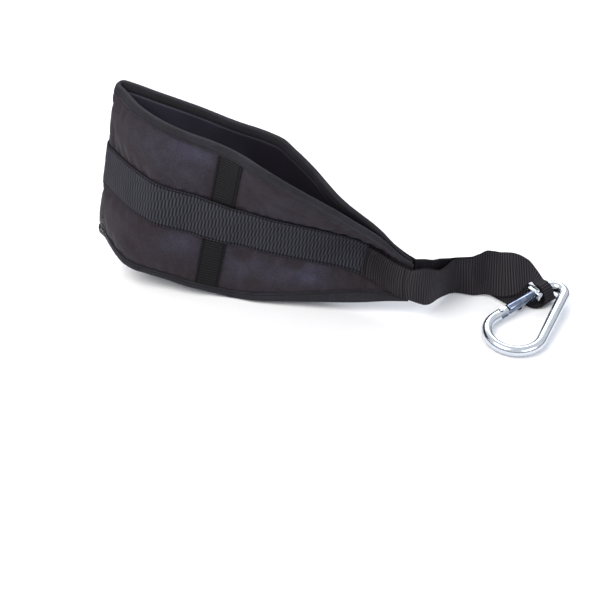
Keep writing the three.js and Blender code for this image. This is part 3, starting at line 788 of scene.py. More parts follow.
def from_fold(places):
    """Distance of each place from the sleeve's folded end."""
    low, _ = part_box("sleeve_pad")
    return places[..., 0] - low.x


def between(surface, low, high):
    """For each place, its share of the way from one row to another, outside 0 to 1 beyond them."""
    from_low = surface.distance_to(low)
    to_high = -surface.distance_to(high)
    return from_low / np.maximum(from_low + to_high, 1e-6)


def free_zone(share, width):
    """How free the cloth is between two seams: 0 at each, up to 1 in the middle, less where they are near."""
    bow = np.sin(np.pi * np.clip(share, 0, 1)) ** 0.8
    return bow * np.clip(width / (30 * MM), 0, 1)


# Patches of painted sheen, where the cloth is drawn bluish as if light glanced off it, and small puckers
# under the webbing, on the near panel:
# millimetres from the neck, up from the middle of the webbing, and across the patch
SHEEN_PATCHES = (
    {"along": 290, "up": 74, "across": 40, "painted_sheen": 0.45},
    {"along": 251, "up": 80, "across": 26, "painted_sheen": 0.75},
    {"along": 262, "up": 52, "across": 42, "painted_sheen": 0.3},
    {"along": 190, "up": -50, "across": 34, "painted_sheen": 0.6},
    {"along": 112, "up": -40, "across": 28, "painted_sheen": 0.9},
    {"along": 150, "up": -45, "across": 30, "painted_sheen": 0.4},
    {"along": 255, "up": -38, "across": 28, "painted_sheen": 0.55},
    {"along": 165, "up": 45, "across": 34, "painted_sheen": 0.15},
)
PUCKERS = (
    {"along": 187, "up": -35, "across": 13, "deep": 1.6},
    {"along": 131, "up": -32, "across": 12, "deep": 1.4},
    {"along": 168, "up": -66, "across": 12, "deep": 1.0},
    {"along": 214, "up": 36, "across": 12, "deep": 0.8},
    {"along": 300, "up": -60, "across": 14, "deep": 0.8},
)


def spots(pad, table, column):
    """A table's patches as a soft field over the panel."""
    field = np.zeros(pad.across.shape)
    for spot in table:
        along = (pad.along[:, None] - spot["along"] * MM) / (spot["across"] * MM)
        up = (pad.across - spot["up"] * MM) / (0.7 * spot["across"] * MM)
        field += spot[column] * np.exp(-2 * (along**2 + up**2))
    return field


def pad_painted_sheen(pad):
    """Painted sheen: cloudy patches of it, with painted shade in the puckers."""
    cloudy = smooth_noise(pad.middle, 18 * MM, 21) + 0.5 * smooth_noise(pad.middle, 7 * MM, 6)
    bright = spots(pad, SHEEN_PATCHES, "painted_sheen") * (0.95 + 0.7 * cloudy)
    # The puckers are drawn darker: painted shade in their dents
    return np.clip(bright - 0.4 * spots(pad, PUCKERS, "deep"), 0, 1)


def pad_relief(pad, sleeve):
    """How far the outer cloth stands off the pad's plain face: its crown, its puckers and broad dents."""
    relief = np.zeros(pad.middle.shape[:2])
    wander = smooth_noise(pad.middle, 60 * MM, 3)
    broad = smooth_noise(pad.middle, 85 * MM, 11)
    fine = smooth_noise(pad.middle, 22 * MM, 5)
    for low, high in FREE_CLOTH:
        share = between(pad, low, high)
        from_low, to_high = pad.distance_to(low), -pad.distance_to(high)
        inside = (share > 0) & (share < 1)
        zone = np.where(inside, free_zone(share, from_low + to_high), 0)
        nearest = np.minimum(np.abs(from_low), np.abs(to_high))
        phase = 2 * np.pi * (pad.along[:, None] / sleeve.pucker_pitch + 0.9 * wander)
        pucker = np.cos(phase) * np.exp(-nearest / PUCKER_REACH) * np.clip(nearest / (2 * MM), 0, 1)
        relief += zone * (sleeve.crown + sleeve.sag * broad + 0.35 * sleeve.sag * fine)
        relief += np.where(inside, sleeve.pucker * pucker, 0)
        relief -= np.where(inside, MM * spots(pad, PUCKERS, "deep"), 0)
    return relief


def strip_hold(pad):
    """1 where a cross strip presses the cloth down, fading to 0 a little way beside it."""
    hold = np.zeros(pad.middle.shape[:2])
    for node in STRIPS:
        line = surface_of(node).middle.mean(axis=0)[::4]
        reach = np.linalg.norm(pad.middle[:, :, None, :] - line, axis=-1).min(axis=2)
        hold = np.maximum(hold, np.clip(1 - (reach - STRIP_PRESS) / STRIP_FADE, 0, 1))
    return hold


def sleeve_wear(places):
    """Rubbed places: the fold's lower corner and a little along the fold."""
    along_fold = np.clip(1 - from_fold(places) / FOLD_WEAR, 0, 1)
    low_down = np.clip(1 - (places[..., 2] - 25 * MM) / (60 * MM), 0, 1)
    return np.clip(along_fold * (0.15 + 1.4 * low_down), 0, 1)


def trial_cloth(face, out, held):
    """A sheet of cloth on a grid of places, facing out, with the held places in its vertex group."""
    count, rows = face.shape[:2]
    place = np.arange(count * rows).reshape(count, rows)
    quads = grid_quads(place)
    facing = np.cross(face[1, 0] - face[0, 0], face[0, 1] - face[0, 0]) @ out[0, 0]
    if facing < 0:
        quads = quads[:, ::-1]
    cloth = mesh_object("trial_cloth", face.reshape(-1, 3), quads.tolist())
    sewn = cloth.vertex_groups.new(name="sewn")
    sewn.add(place[held].tolist(), 1.0, "REPLACE")
    return cloth


def simulated_rise(face, out, held):
    """How far a short cloth simulation lifts the outer cloth off the foam; it is sewn down where held."""
    sleeve = settings("sleeve_settings")
    scene = bpy.context.scene
    began = scene.frame_current
    cloth = trial_cloth(face, out, held)
    spring = cloth.modifiers.new("spring", "CLOTH")
    spring.settings.quality = 5
    spring.settings.mass = 0.3
    spring.settings.tension_stiffness = 12
    spring.settings.compression_stiffness = 6
    spring.settings.bending_stiffness = 0.3
    spring.settings.shrink_min = -SLACK
    spring.settings.vertex_group_mass = "sewn"
    spring.settings.use_pressure = True
    spring.settings.uniform_pressure_force = sleeve.foam_pressure
    spring.settings.effector_weights.gravity = 0
    spring.point_cache.frame_start = 1
    spring.point_cache.frame_end = SPRING_FRAMES
    for frame in range(1, SPRING_FRAMES + 1):
        scene.frame_set(frame)
    settled = cloth.evaluated_get(bpy.context.evaluated_depsgraph_get())
    places = np.empty(len(settled.data.vertices) * 3)
    settled.data.vertices.foreach_get("co", places)
    bpy.data.objects.remove(cloth)
    scene.frame_set(began)
    rise = ((places.reshape(face.shape) - face) * out).sum(axis=-1)
    return np.clip(rise, -SINK_SHARE * sleeve.most_rise, sleeve.most_rise)


def pad_rise(pad, face, hold):
    """The simulation run on every second section, and spread back over the whole panel."""
    held = np.ones(pad.across.shape, bool)
    for low, high in FREE_CLOTH:
        share = between(pad, low, high)
        held &= (share <= 0.02) | (share >= 0.98)
    held |= hold > 0.5
    held[:2] = held[-2:] = True
    some = slice(None, None, 2)
    rise = simulated_rise(face[some], pad.out[some], held[some])
    spread = [np.interp(pad.along, pad.along[some], row) for row in rise.T]
    return np.stack(spread, axis=1)


class ABSTRAP_OT_sleeve_pad(bpy.types.Operator):
    """Models the padded panel: crown, puckers and dents between its seams, then the cloth's own rise"""

    bl_idname = "abstrap.sleeve_pad"
    bl_label = "Sleeve Pad"

    def execute(self, context):
        sleeve = settings("sleeve_settings")
        pad = surface_of("sleeve_pad")
        half = pad.half * edge_profile(pad.distance_to_edge(), 2 * MM)
        hold = strip_hold(pad)
        relief = pad_relief(pad, sleeve) * (1 - hold)
        face = pad.middle + pad.out * (half + relief)[..., None]
        rise = pad_rise(pad, face, hold)
        outer = face + pad.out * rise[..., None]
        inner = pad.middle - pad.out * half[..., None]
        # Pale lint where the cloth is rubbed, and patches of painted sheen
        fields = {"wear": sleeve_wear(pad.middle), "painted_sheen": pad_painted_sheen(pad)}
        piece = slab("sleeve_panel", pad, outer, inner, fields)
        cloth = polyester_oxford("polyester_oxford_painted_sheen", sleeve.cloth_colour)
        finish_piece(piece, "sling", ["sleeve_pad"], cloth)
        return {"FINISHED"}


class ABSTRAP_OT_lining(bpy.types.Operator):
    """Models the lining cloth inside the sleeve"""

    bl_idname = "abstrap.lining"
    bl_label = "Sleeve Lining"

    def execute(self, context):
        lining = surface_of("sleeve_lining")
        soft = 0.5 * MM * smooth_noise(lining.middle, 45 * MM, 8) - 0.3 * MM
        outer = lining.middle + lining.out * lining.half[..., None]
        inner = lining.middle - lining.out * (lining.half - soft)[..., None]
        # Painted light: the cloth is drawn brighter under the rim and towards the fold
        high_up = eased((lining.across - 5 * MM) / (60 * MM))
        by_fold = eased(1 - (from_fold(lining.middle) - 60 * MM) / (170 * MM))
        painted_light = high_up * by_fold * (0.75 + 0.35 * smooth_noise(lining.middle, 25 * MM, 4))
        piece = slab("lining_cloth", lining, outer, inner, {"painted_light": np.clip(painted_light, 0, 1)})
        finish_piece(piece, "sling", ["sleeve_lining"], lining_taffeta())
        return {"FINISHED"}


def hem_crest(fine):
    """The line half way between the two corners beside a hem's crest."""
    return (fine[:, HEM_CREST[0]] + fine[:, HEM_CREST[1]]) / 2


def evened(rows, reach):
    """Each row's mean with as many rows on either side as the reach says."""
    window = 2 * reach + 1
    padded = np.pad(rows, ((reach, reach), (0, 0)), mode="edge")
    return np.stack([np.convolve(column, np.full(window, 1 / window), "valid") for column in padded.T], -1)


def hem_places(node):
    """A hem's sections. The top hem follows the pinched rim and narrows towards its two ends."""
    places = sections(node, HEM_CORNERS, outer_first=lambda corner: corner.co.y)
    fine, along = refine_along(places, HEM_STEP)
    if node == "top_hem":
        pad = surface_of("sleeve_pad")
        crest = hem_crest(fine)
        nearest = np.linalg.norm(crest[:, None] - pad.first_rim, axis=-1).argmin(axis=1)
        shift = evened((pad.middle[:, -1] - pad.first_rim)[nearest], 4)
        full = eased(np.minimum(along, along[-1] - along) / HEM_TAPER)
        width = HEM_END_WIDTH + (1 - HEM_END_WIDTH) * full
        fine = crest[:, None] + (fine - crest[:, None]) * width[:, None, None] + shift[:, None]
    return fine, along


def leg(a, b, steps, bow):
    """Places from a to b, bowed out along a way."""
    shares = np.linspace(0, 1, steps + 1)
    return [a + (b - a) * share + bow * np.sin(np.pi * share) for share in shares]


def hem_sections(fine, puff):
    """The folded edge's closed section at each place: two legs with a round rim, and the pad's room in it."""
    (foot, far_foot), (turn, far_turn) = ([fine[:, k] for k in pair] for pair in (HEM_FEET, HEM_TURNS))
    crest, middle, side = hem_crest(fine), (turn + far_turn) / 2, (turn - far_turn) / 2
    out = side / np.linalg.norm(side, axis=1, keepdims=True)
    angles = np.linspace(0, math.pi, 9)[1:-1]
    rim = [middle + side * math.cos(angle) + (crest - middle) * math.sin(angle) for angle in angles]
    legs = leg(foot, turn, 6, out * puff), leg(far_turn, far_foot, 6, -out * puff)
    return np.stack(legs[0] + rim + legs[1] + [fine[:, k] for k in HEM_SKIN], axis=1)


class ABSTRAP_OT_hems(bpy.types.Operator):
    """Models the turned hems round the sleeve's two rims"""

    bl_idname = "abstrap.hems"
    bl_label = "Hems"

    def execute(self, context):
        sleeve = settings("sleeve_settings")
        cloth = polyester_oxford("turned_hem_oxford", sleeve.hem_colour)
        for node in HEMS:
            fine, along = hem_places(node)
            places = hem_sections(fine, sleeve.hem_puff)
            uv = band_uv(along, travelled_rows(places))
            piece = tube(f"{node}_cloth", places, uv, {"wear": sleeve_wear(places)})
            finish_piece(piece, "sling", [node], cloth)
        return {"FINISHED"}


# Webbing

# Share of a rib's height that a row of stitches takes, and that lies within the webbing's own thickness
FLATTENED, SEATED = 0.7, 0.7
SELVEDGE = 1.2 * MM
STRIP_RELIEF = 0.3 * MM
# Ribs over which a step moves on by a whole rib's length, and how sharply one rib turns into the next
STEP_RIBS, STEP_SHARPNESS = 12, 2.2
# Places of the rows of stitches across the strap, from each of its sewn ends
STRAP_SEAMS = (3 * MM, 51 * MM)


def rib_field(along, across, pitch, rib_length):
    """Height from 0 to 1 of the weave: long narrow ribs across the webbing, stepping half a rib aside."""
    turns = along[:, None] / pitch
    rows = across / (2 * rib_length) + turns / STEP_RIBS
    step = np.tanh(STEP_SHARPNESS * np.cos(2 * np.pi * rows)) / np.tanh(STEP_SHARPNESS)
    return (0.5 + 0.5 * np.cos(2 * np.pi * turns) * step) ** 1.2


def seam_line(distance, width=0.7 * MM):
    """1 on a row of stitches, fading to 0 beside it."""
    return np.exp(-((distance / width) ** 2))


def ribbon(name, surface, pitch, rib_length, both_faces, seams=()):
    """A woven band with ribs on one face or both, sewn down along its edges or in seams across it."""
    webbing, inset = settings("webbing_settings"), settings("stitch_settings").inset
    distance = surface.distance_to_edge()
    sewn = np.zeros(distance.shape) if both_faces else seam_line(distance - inset)
    for seam in seams:
        sewn = np.maximum(sewn, seam_line(surface.along - seam)[:, None])
    rib = rib_field(surface.along, surface.across, pitch, rib_length) * (1 - FLATTENED * sewn)
    # Near the edges the ribs die away and the rib field falls to the groove colour, which draws a painted
    # shadow line along each edge
    calm = np.clip(distance / (0.9 * MM), 0, 1)
    half = surface.half * edge_profile(distance, SELVEDGE)
    lift = webbing.rib_height * (rib - SEATED) * calm - webbing.seam_depth * sewn
    under = lift if both_faces else 0
    outer = surface.middle + surface.out * (half + lift)[..., None]
    inner = surface.middle - surface.out * (half + under)[..., None]
    # Towards the fold the ribs are rubbed flat and grey
    rubbed = 0.6 * np.clip(1 - (from_fold(surface.middle) - RIB_WEAR_START) / RIB_WEAR_FADE, 0, 1)
    return slab(name, surface, outer, inner, {"rib": calm * (rib + rubbed * (0.5 - rib))})


class ABSTRAP_OT_main_webbing(bpy.types.Operator):
    """Models the ribbed webbing sewn round the sleeve"""

    bl_idname = "abstrap.main_webbing"
    bl_label = "Main Webbing"

    def execute(self, context):
        webbing = settings("webbing_settings")
        surface = surface_of("main_webbing")
        piece = ribbon("ribbed_webbing", surface, webbing.rib_pitch, webbing.rib_length, False)
        material = woven_webbing("ribbed_polypropylene_webbing", webbing.rib_colour, webbing.groove_shade_colour)
        finish_piece(piece, "sling", ["main_webbing"], material)
        return {"FINISHED"}


def strap_seams(strap):
    """Places along the strap of the rows of stitches across its two sewn ends."""
    total = strap.along[-1]
    return [place for seam in STRAP_SEAMS for place in (seam, total - seam)]


class ABSTRAP_OT_strap_loop(bpy.types.Operator):
    """Models the strap from the neck round the hook and back, gathered where it holds the hook"""

    bl_idname = "abstrap.strap_loop"
    bl_label = "Strap Loop"

    def execute(self, context):
        webbing = settings("webbing_settings")
        strap = surface_of("strap_loop")
        seams = strap_seams(strap)
        piece = ribbon("strap_webbing", strap, webbing.strap_pitch, webbing.strap_rib, True, seams)
        # The strap's grooves are drawn darker than its crests, a painted shade
        material = woven_webbing("strap_polypropylene_webbing", "#302c32", "#0d0b0d")
        finish_piece(piece, "sling", ["strap_loop"], material)
        return {"FINISHED"}


class ABSTRAP_OT_cross_strips(bpy.types.Operator):
    """Models the narrow upright strips under the main webbing"""

    bl_idname = "abstrap.cross_strips"
    bl_label = "Cross Strips"

    def execute(self, context):
        webbing, inset = settings("webbing_settings"), settings("stitch_settings").inset
        for node in STRIPS:
            strip = surface_of(node)
            edge = strip.distance_to_end()[:, None] + 0 * strip.across
            sewn = seam_line(edge - inset)
            rib = (0.5 + 0.5 * np.cos(2 * np.pi * strip.across / webbing.strip_pitch)) * (1 - sewn)
            half = strip.half * edge_profile(edge, SELVEDGE)
            lift = STRIP_RELIEF * (rib - SEATED) * np.clip(edge / SELVEDGE, 0, 1) - STRIP_RELIEF * sewn
            outer = strip.middle + strip.out * (half + lift)[..., None]
            inner = strip.middle - strip.out * half[..., None]
            piece = slab(f"{node}_tape", strip, outer, inner, {"rib": rib})
            # The strip's grooves are drawn darker than its ribs, a painted shade
            material = woven_webbing("woven_strip_tape", webbing.strip_colour, "#08080a")
            finish_piece(piece, "sling", [node], material)
        return {"FINISHED"}


# Stitches

# How deep a stitch lies in the webbing and in the strap's cross seams, and how far it stands off a hem
SUNK, CROSS_SUNK, HEM_PROUD = 0.2 * MM, 0.3 * MM, 0.22 * MM


def bead_shape():
    """One stitch: a six-sided bead one unit long, wide and high, as corners and faces."""
    rings = [(-0.5, 0.35), (-0.36, 0.85), (0.0, 1.0), (0.36, 0.85), (0.5, 0.35)]
    corners, faces, sides = [], [], 6
    for along, size in rings:
        for k in range(sides):
            angle = 2 * math.pi * k / sides
            corners.append((along, 0.5 * size * math.cos(angle), 0.5 * size * math.sin(angle)))
    for ring in range(len(rings) - 1):
        for k in range(sides):
            after = (k + 1) % sides
            low, high = ring * sides, (ring + 1) * sides
            faces.append((low + k, low + after, high + after, high + k))
    last = (len(rings) - 1) * sides
    faces.append((0, 5, 4, 3))
    faces.append((0, 3, 2, 1))
    faces.append((last, last + 1, last + 2, last + 3))
    faces.append((last, last + 3, last + 4, last + 5))
    return np.array(corners), np.array(faces)


def stitch_line(path, out, stitch):
    """Places, ways along and ways out of the stitches on one line."""
    distance = travelled(path)
    pitch = stitch.stitch + stitch.gap
    count = int(distance[-1] // pitch)
    if count < 1:
        return []
    at = (distance[-1] - count * pitch) / 2 + pitch * (np.arange(count) + 0.5)
    rows = []
    for place in at:
        ahead, behind = (read_line(place + step * pitch, distance, path) for step in (0.3, -0.3))
        rows.append((read_line(place, distance, path), ahead - behind, read_line(place, distance, out)))
    return rows


def stitches(name, lines, stitch):
    """One mesh with all the stitches of several lines; each line is a path and the ways out along it."""
    corners, faces = bead_shape()
    size = np.array([stitch.stitch, stitch.thread, 0.6 * stitch.thread])
    vertices, quads = [], []
    for path, out in lines:
        for spot, way, normal in stitch_line(path, out, stitch):
            way = way / np.linalg.norm(way)
            side = np.cross(normal, way)
            side = side / np.linalg.norm(side)
            square = np.cross(way, side)
            quads.append(faces + len(vertices) * len(corners))
            vertices.append(spot + (corners * size) @ np.array([way, side, square]))
    piece = mesh_object(name, np.concatenate(vertices), np.concatenate(quads).tolist())
    return finish_piece(piece, "sling", [], sewing_thread())


def hem_stitch_lines(inset):
    """One line above each foot of each hem."""
    lines = []
    for node in HEMS:
        fine, _ = hem_places(node)
        for here, there in ((0, 1), (1, 0)):
            foot, other, turn = (fine[:, k] for k in (HEM_FEET[here], HEM_FEET[there], HEM_TURNS[here]))
            out = (foot - other) / np.linalg.norm(foot - other, axis=1, keepdims=True)
            reach = np.linalg.norm(turn - foot, axis=1, keepdims=True)
            lines.append((foot + (turn - foot) * np.clip(inset / reach, 0, 0.5) + out * HEM_PROUD, out))
    return lines


def edge_shares(inset):
    """Row shares of the two lines that lie a little in from a webbing's edges."""
    spare = inset / WEBBING_WIDTH * WEBBING_SPANS
    return spare, WEBBING_SPANS - spare


def webbing_stitch_lines(inset):
    """One line along each edge of the main webbing."""
    return [surface_of("main_webbing").lay(share, -SUNK) for share in edge_shares(inset)]


def strip_stitch_lines(inset):
    """Lines up the strips' edges, above and below the main webbing that covers their middle."""
    covered = WEBBING_WIDTH / 2 + 1 * MM
    lines = []
    for node in STRIPS:
        strip = surface_of(node)
        for side in (inset, strip.along[-1] - inset):
            index = int(np.argmin(np.abs(strip.along - side)))
            face = strip.middle[index] + strip.out[index] * (strip.half[index] - SUNK)[:, None]
            for part in (strip.across[index] < -covered, strip.across[index] > covered):
                lines.append((face[part], strip.out[index][part]))
    return lines


def strap_stitch_lines(inset):
    """The strap's sewn ends: two rows across it and one along each edge between them."""
    strap = surface_of("strap_loop")
    low, high = edge_shares(inset)
    seams = sorted(strap_seams(strap))
    lines = []
    for start, stop in (seams[:2], seams[2:]):
        first, last = np.searchsorted(strap.along, (start, stop))
        lines.extend(strap.lay(share, -SUNK, first, last) for share in (low, high))
        lines.extend(across_line(strap, index, np.linspace(low, high, 30)) for index in (first, last))
    return lines


def across_line(surface, index, shares):
    """A line across a band's outer face at one section, with the ways out there."""
    spots, out = (read_line(shares, surface.shares, rows[index]) for rows in (surface.middle, surface.out))
    half = np.interp(shares, surface.shares, surface.half[index])
    return spots + out * (half - CROSS_SUNK)[:, None], out


class ABSTRAP_OT_stitching(bpy.types.Operator):
    """Sews the hems, the webbing's edges, the strips and the strap's two ends"""

    bl_idname = "abstrap.stitching"
    bl_label = "Stitching"

    def execute(self, context):
        stitch = settings("stitch_settings")
        sewn = {
            "hem_stitches": hem_stitch_lines,
            "webbing_stitches": webbing_stitch_lines,
            "strip_stitches": strip_stitch_lines,
            "strap_stitches": strap_stitch_lines,
        }
        for name, lines in sewn.items():
            stitches(name, lines(stitch.inset), stitch)
        return {"FINISHED"}


# The snap hook, in its own frame: x from the wide bow to the narrow one, y towards the gate

# How far a block reaches into what it joins, and the room round the rivet's shank
OVERLAP, RIVET_ROOM = 1 * MM, 0.3 * MM


def hook_measures():
    """Lengths of the pear shape that follow from the hook's sizes."""
    hook = settings("hook_settings")
    wide_radius = (hook.wide - hook.wire) / 2
    centres = hook.long - hook.wire - wide_radius - hook.narrow_radius
    flank = math.asin((wide_radius - hook.narrow_radius) / centres)
    return hook, wide_radius, centres, flank


def hook_place():
    """The hook's frame in the scene, from the gate's joint."""
    hook, wide_radius, _, flank = hook_measures()
    joint = next(j for j in frame["joints"] if j["child"] == "gate")
    square = -Vector(joint["axis"]).normalized()
    heading = math.atan2(-square.y, -square.x)
    tilt = math.acos(square.z)
    turn = Matrix.Rotation(heading, 4, "Z") @ Matrix.Rotation(-tilt, 4, "Y")
    out = Vector((math.sin(flank), math.cos(flank), 0)) * wide_radius
    along = Vector((math.cos(flank), -math.sin(flank), 0)) * hook.gate_pivot
    return Matrix.Translation(Vector(joint["pos_m"]) - turn @ (out + along)) @ turn


def on_flank(distance, side=1):
    """A place on the hook's centre line: on the gate's side, or mirrored on the spine's side."""
    _, wide_radius, _, flank = hook_measures()
    x = wide_radius * math.sin(flank) + distance * math.cos(flank)
    y = wide_radius * math.cos(flank) - distance * math.sin(flank)
    return Vector((x, side * y, 0))


def choose(thing):
    """Selects one piece alone and makes it the active one."""
    deselect()
    bpy.context.view_layer.objects.active = thing
    thing.select_set(True)


def edit(thing, select="DESELECT"):
    choose(thing)
    bpy.ops.object.mode_set(mode="EDIT")
    bpy.ops.mesh.select_all(action=select)


def object_mode():
    bpy.ops.object.mode_set(mode="OBJECT")


def settled_primitive():
    """The primitive just added, with its place, turn and size put into its mesh."""
    bpy.ops.object.transform_apply(location=True, rotation=True, scale=True)
    return bpy.context.object


def apply_modifier(thing, kind, **options):
    modifier = thing.modifiers.new(kind.title(), kind)
    for option, value in options.items():
        setattr(modifier, option, value)
    choose(thing)
    bpy.ops.object.modifier_apply(modifier=modifier.name)


def combine(thing, other, operation):
    """Joins a second piece to the first, or cuts it out, and takes the second away."""
    apply_modifier(thing, "BOOLEAN", operation=operation, object=other, solver="EXACT")
    bpy.data.objects.remove(other, do_unlink=True)


def flank_block(centre_distance, size, bevel=0.0):
    """A block on the gate's line, sized along it, across it and square to the hook."""
    _, _, _, flank = hook_measures()
    deselect()
    bpy.ops.mesh.primitive_cube_add(size=1, location=on_flank(centre_distance), rotation=(0, 0, -flank))
    bpy.context.object.scale = size
    block = settled_primitive()
    if bevel:
        apply_modifier(block, "BEVEL", width=bevel, segments=3)
    return block


def drill_for_rivet(thing):
    """Bores the rivet's hole through a piece."""
    hook = settings("hook_settings")
    drill = flank_cylinder(hook.rivet / 2 + RIVET_ROOM, 2 * hook.wire, hook.gate_pivot)
    combine(thing, drill, "DIFFERENCE")


def flank_cylinder(radius, depth, distance, turn=(0, 0, 0), lift=0.0):
    """A cylinder on the gate's line, square to the hook unless turned, and lifted off its middle plane."""
    deselect()
    spot = on_flank(distance) + Vector((0, 0, lift))
    bpy.ops.mesh.primitive_cylinder_add(vertices=32, radius=radius, depth=depth, location=spot, rotation=turn)
    return settled_primitive()


def settle_hook_piece(piece, name, body, node, bevel):
    """Rounds the edges, carries the piece to its place and dresses it; the gate's plating is drawn darker,
    with dark bluish streaks, as painted shade and painted reflection.
    """
    hook = settings("hook_settings")
    sharp = math.radians(40)
    apply_modifier(piece, "BEVEL", width=bevel, segments=2, limit_method="ANGLE", angle_limit=sharp)
    piece.name = name
    piece.data.name = name
    piece.data.transform(hook_place())
    choose(piece)
    bpy.ops.object.shade_smooth_by_angle(angle=math.radians(35))
    if body == "gate":
        # Painted shade and painted reflection: the gate is drawn darker, with dark bluish streaks
        plating = zinc_plate("gate_zinc_painted_dark", hook.gate_shade_colour, "#3d4860")
    else:
        plating = zinc_plate("bright_zinc_plated_steel", hook.zinc_colour, "#c3cbd6")
    finish_piece(piece, body, [node], plating)


def hook_wire():
    """The bent wire: from the fork round the wide bow, up the spine and round the narrow bow to the nose."""
    hook, _, centres, flank = hook_measures()
    reach = hook.gate_wire / 2 + hook.clearance
    nose_end = hook.gate_pivot + hook.gate_length + hook.clearance + hook.nose_length
    deselect()
    bpy.ops.mesh.primitive_circle_add(
        vertices=32,
        radius=hook.wire / 2,
        location=on_flank(hook.gate_pivot + reach),
        rotation=(0, math.pi / 2, -flank),
    )
    wire = settled_primitive()
    edit(wire, "SELECT")
    back = on_flank(0) - on_flank(hook.gate_pivot + reach)
    bpy.ops.mesh.extrude_region_move(TRANSFORM_OT_translate={"value": back})
    bpy.ops.mesh.spin(steps=56, angle=-(math.pi + 2 * flank), center=(0, 0, 0), axis=(0, 0, 1))
    straight = centres * math.cos(flank)
    spine_end = on_flank(straight, -1)
    bpy.ops.mesh.extrude_region_move(TRANSFORM_OT_translate={"value": spine_end - on_flank(0, -1)})
    swell = hook.head_wire / hook.wire
    bpy.ops.transform.resize(value=(swell, swell, swell), center_override=spine_end)
    bpy.ops.mesh.spin(steps=28, angle=-(math.pi - 2 * flank), center=(centres, 0, 0), axis=(0, 0, 1))
    last = on_flank(nose_end - OVERLAP) - on_flank(straight)
    bpy.ops.mesh.extrude_region_move(TRANSFORM_OT_translate={"value": last})
    bpy.ops.mesh.select_all(action="SELECT")
    bpy.ops.mesh.fill_holes(sides=0)
    bpy.ops.mesh.normals_make_consistent(inside=False)
    object_mode()
    return wire


class ABSTRAP_OT_hook_body(bpy.types.Operator):
    """Models the snap hook's body with its fork, its blade and its nose"""

    bl_idname = "abstrap.hook_body"
    bl_label = "Hook Body"

    def execute(self, context):
        hook = settings("hook_settings")
        body = hook_wire()
        reach = hook.gate_wire / 2 + hook.clearance
        slot_start, slot_end = hook.gate_pivot - reach, hook.gate_pivot + reach + OVERLAP
        slot_wide = hook.blade_thickness + 2 * hook.clearance
        slot = flank_block((slot_start + slot_end) / 2, (slot_end - slot_start, 2 * hook.wire, slot_wide))
        combine(body, slot, "DIFFERENCE")
        nose_end = hook.gate_pivot + hook.gate_length + hook.clearance + hook.nose_length
        nose_size = (hook.nose_length, hook.nose_width, hook.nose_thickness)
        combine(body, flank_block(nose_end - hook.nose_length / 2, nose_size, 1.2 * MM), "UNION")
        # A rounded dome lies over the nose
        dome_size = (0.9 * hook.nose_length, 0.84 * hook.nose_width, 1.05 * hook.nose_thickness)
        combine(body, flank_block(nose_end + 0.1 * hook.nose_length, dome_size, 2.4 * MM), "UNION")
        blade_start, blade_end = nose_end - hook.nose_length - hook.blade_length, nose_end - OVERLAP
        blade_size = (blade_end - blade_start, 0.6 * hook.gate_wire, hook.blade_thickness)
        combine(body, flank_block((blade_end + blade_start) / 2, blade_size, 0.6 * MM), "UNION")
        drill_for_rivet(body)
        settle_hook_piece(body, "snap_hook_body", "sling", "carabiner_body", 0.35 * MM)
        return {"FINISHED"}


class ABSTRAP_OT_hook_gate(bpy.types.Operator):
    """Models the hook's spring gate with its tongue and its slotted end"""

    bl_idname = "abstrap.hook_gate"
    bl_label = "Hook Gate"

    def execute(self, context):
        hook, _, _, flank = hook_measures()
        reach = hook.gate_wire / 2 + hook.clearance
        shoulder = hook.gate_pivot + math.hypot(reach, hook.wire / 2) + 0.3 * MM
        end = hook.gate_pivot + hook.gate_length
        lying = (0, math.pi / 2, -flank)
        gate = flank_cylinder(hook.gate_wire / 2, end - shoulder, (end + shoulder) / 2, lying)
        sharp = math.radians(60)
        apply_modifier(gate, "BEVEL", width=0.9 * MM, segments=3, limit_method="ANGLE", angle_limit=sharp)
        tongue_end = shoulder + 2 * OVERLAP
        tongue_wide = hook.gate_wire - 2 * MM
        tongue_size = (tongue_end - hook.gate_pivot, tongue_wide, hook.blade_thickness)
        combine(gate, flank_block((tongue_end + hook.gate_pivot) / 2, tongue_size), "UNION")
        combine(gate, flank_cylinder(tongue_wide / 2, hook.blade_thickness, hook.gate_pivot), "UNION")
        slot_long = hook.blade_length + 2 * OVERLAP
        slot_size = (slot_long, 2 * hook.gate_wire, hook.blade_thickness + 2 * hook.clearance)
        combine(gate, flank_block(end + OVERLAP - slot_long / 2, slot_size), "DIFFERENCE")
        drill_for_rivet(gate)
        settle_hook_piece(gate, "snap_hook_gate", "gate", "carabiner_gate", 0.3 * MM)
        return {"FINISHED"}


class ABSTRAP_OT_hook_rivet(bpy.types.Operator):
    """Models the gate's rivet with a low rounded head on each side"""

    bl_idname = "abstrap.hook_rivet"
    bl_label = "Hook Rivet"

    def execute(self, context):
        hook = settings("hook_settings")
        rivet = flank_cylinder(hook.rivet / 2, hook.wire + 0.8 * MM, hook.gate_pivot)
        for side in (-1, 1):
            lift = side * (hook.wire / 2 + 0.75 * MM)
            head = flank_cylinder(hook.rivet_head / 2, 0.9 * MM, hook.gate_pivot, lift=lift)
            edit(head)
            mesh = bmesh.from_edit_mesh(head.data)
            for face in mesh.faces:
                face.select = face.normal.z * side > 0.9
            bmesh.update_edit_mesh(head.data)
            bpy.ops.mesh.bevel(offset=0.5 * MM, segments=4, affect="EDGES")
            object_mode()
            combine(rivet, head, "UNION")
        settle_hook_piece(rivet, "snap_hook_rivet", "sling", "gate_rivet", 0.1 * MM)
        return {"FINISHED"}


# The studio

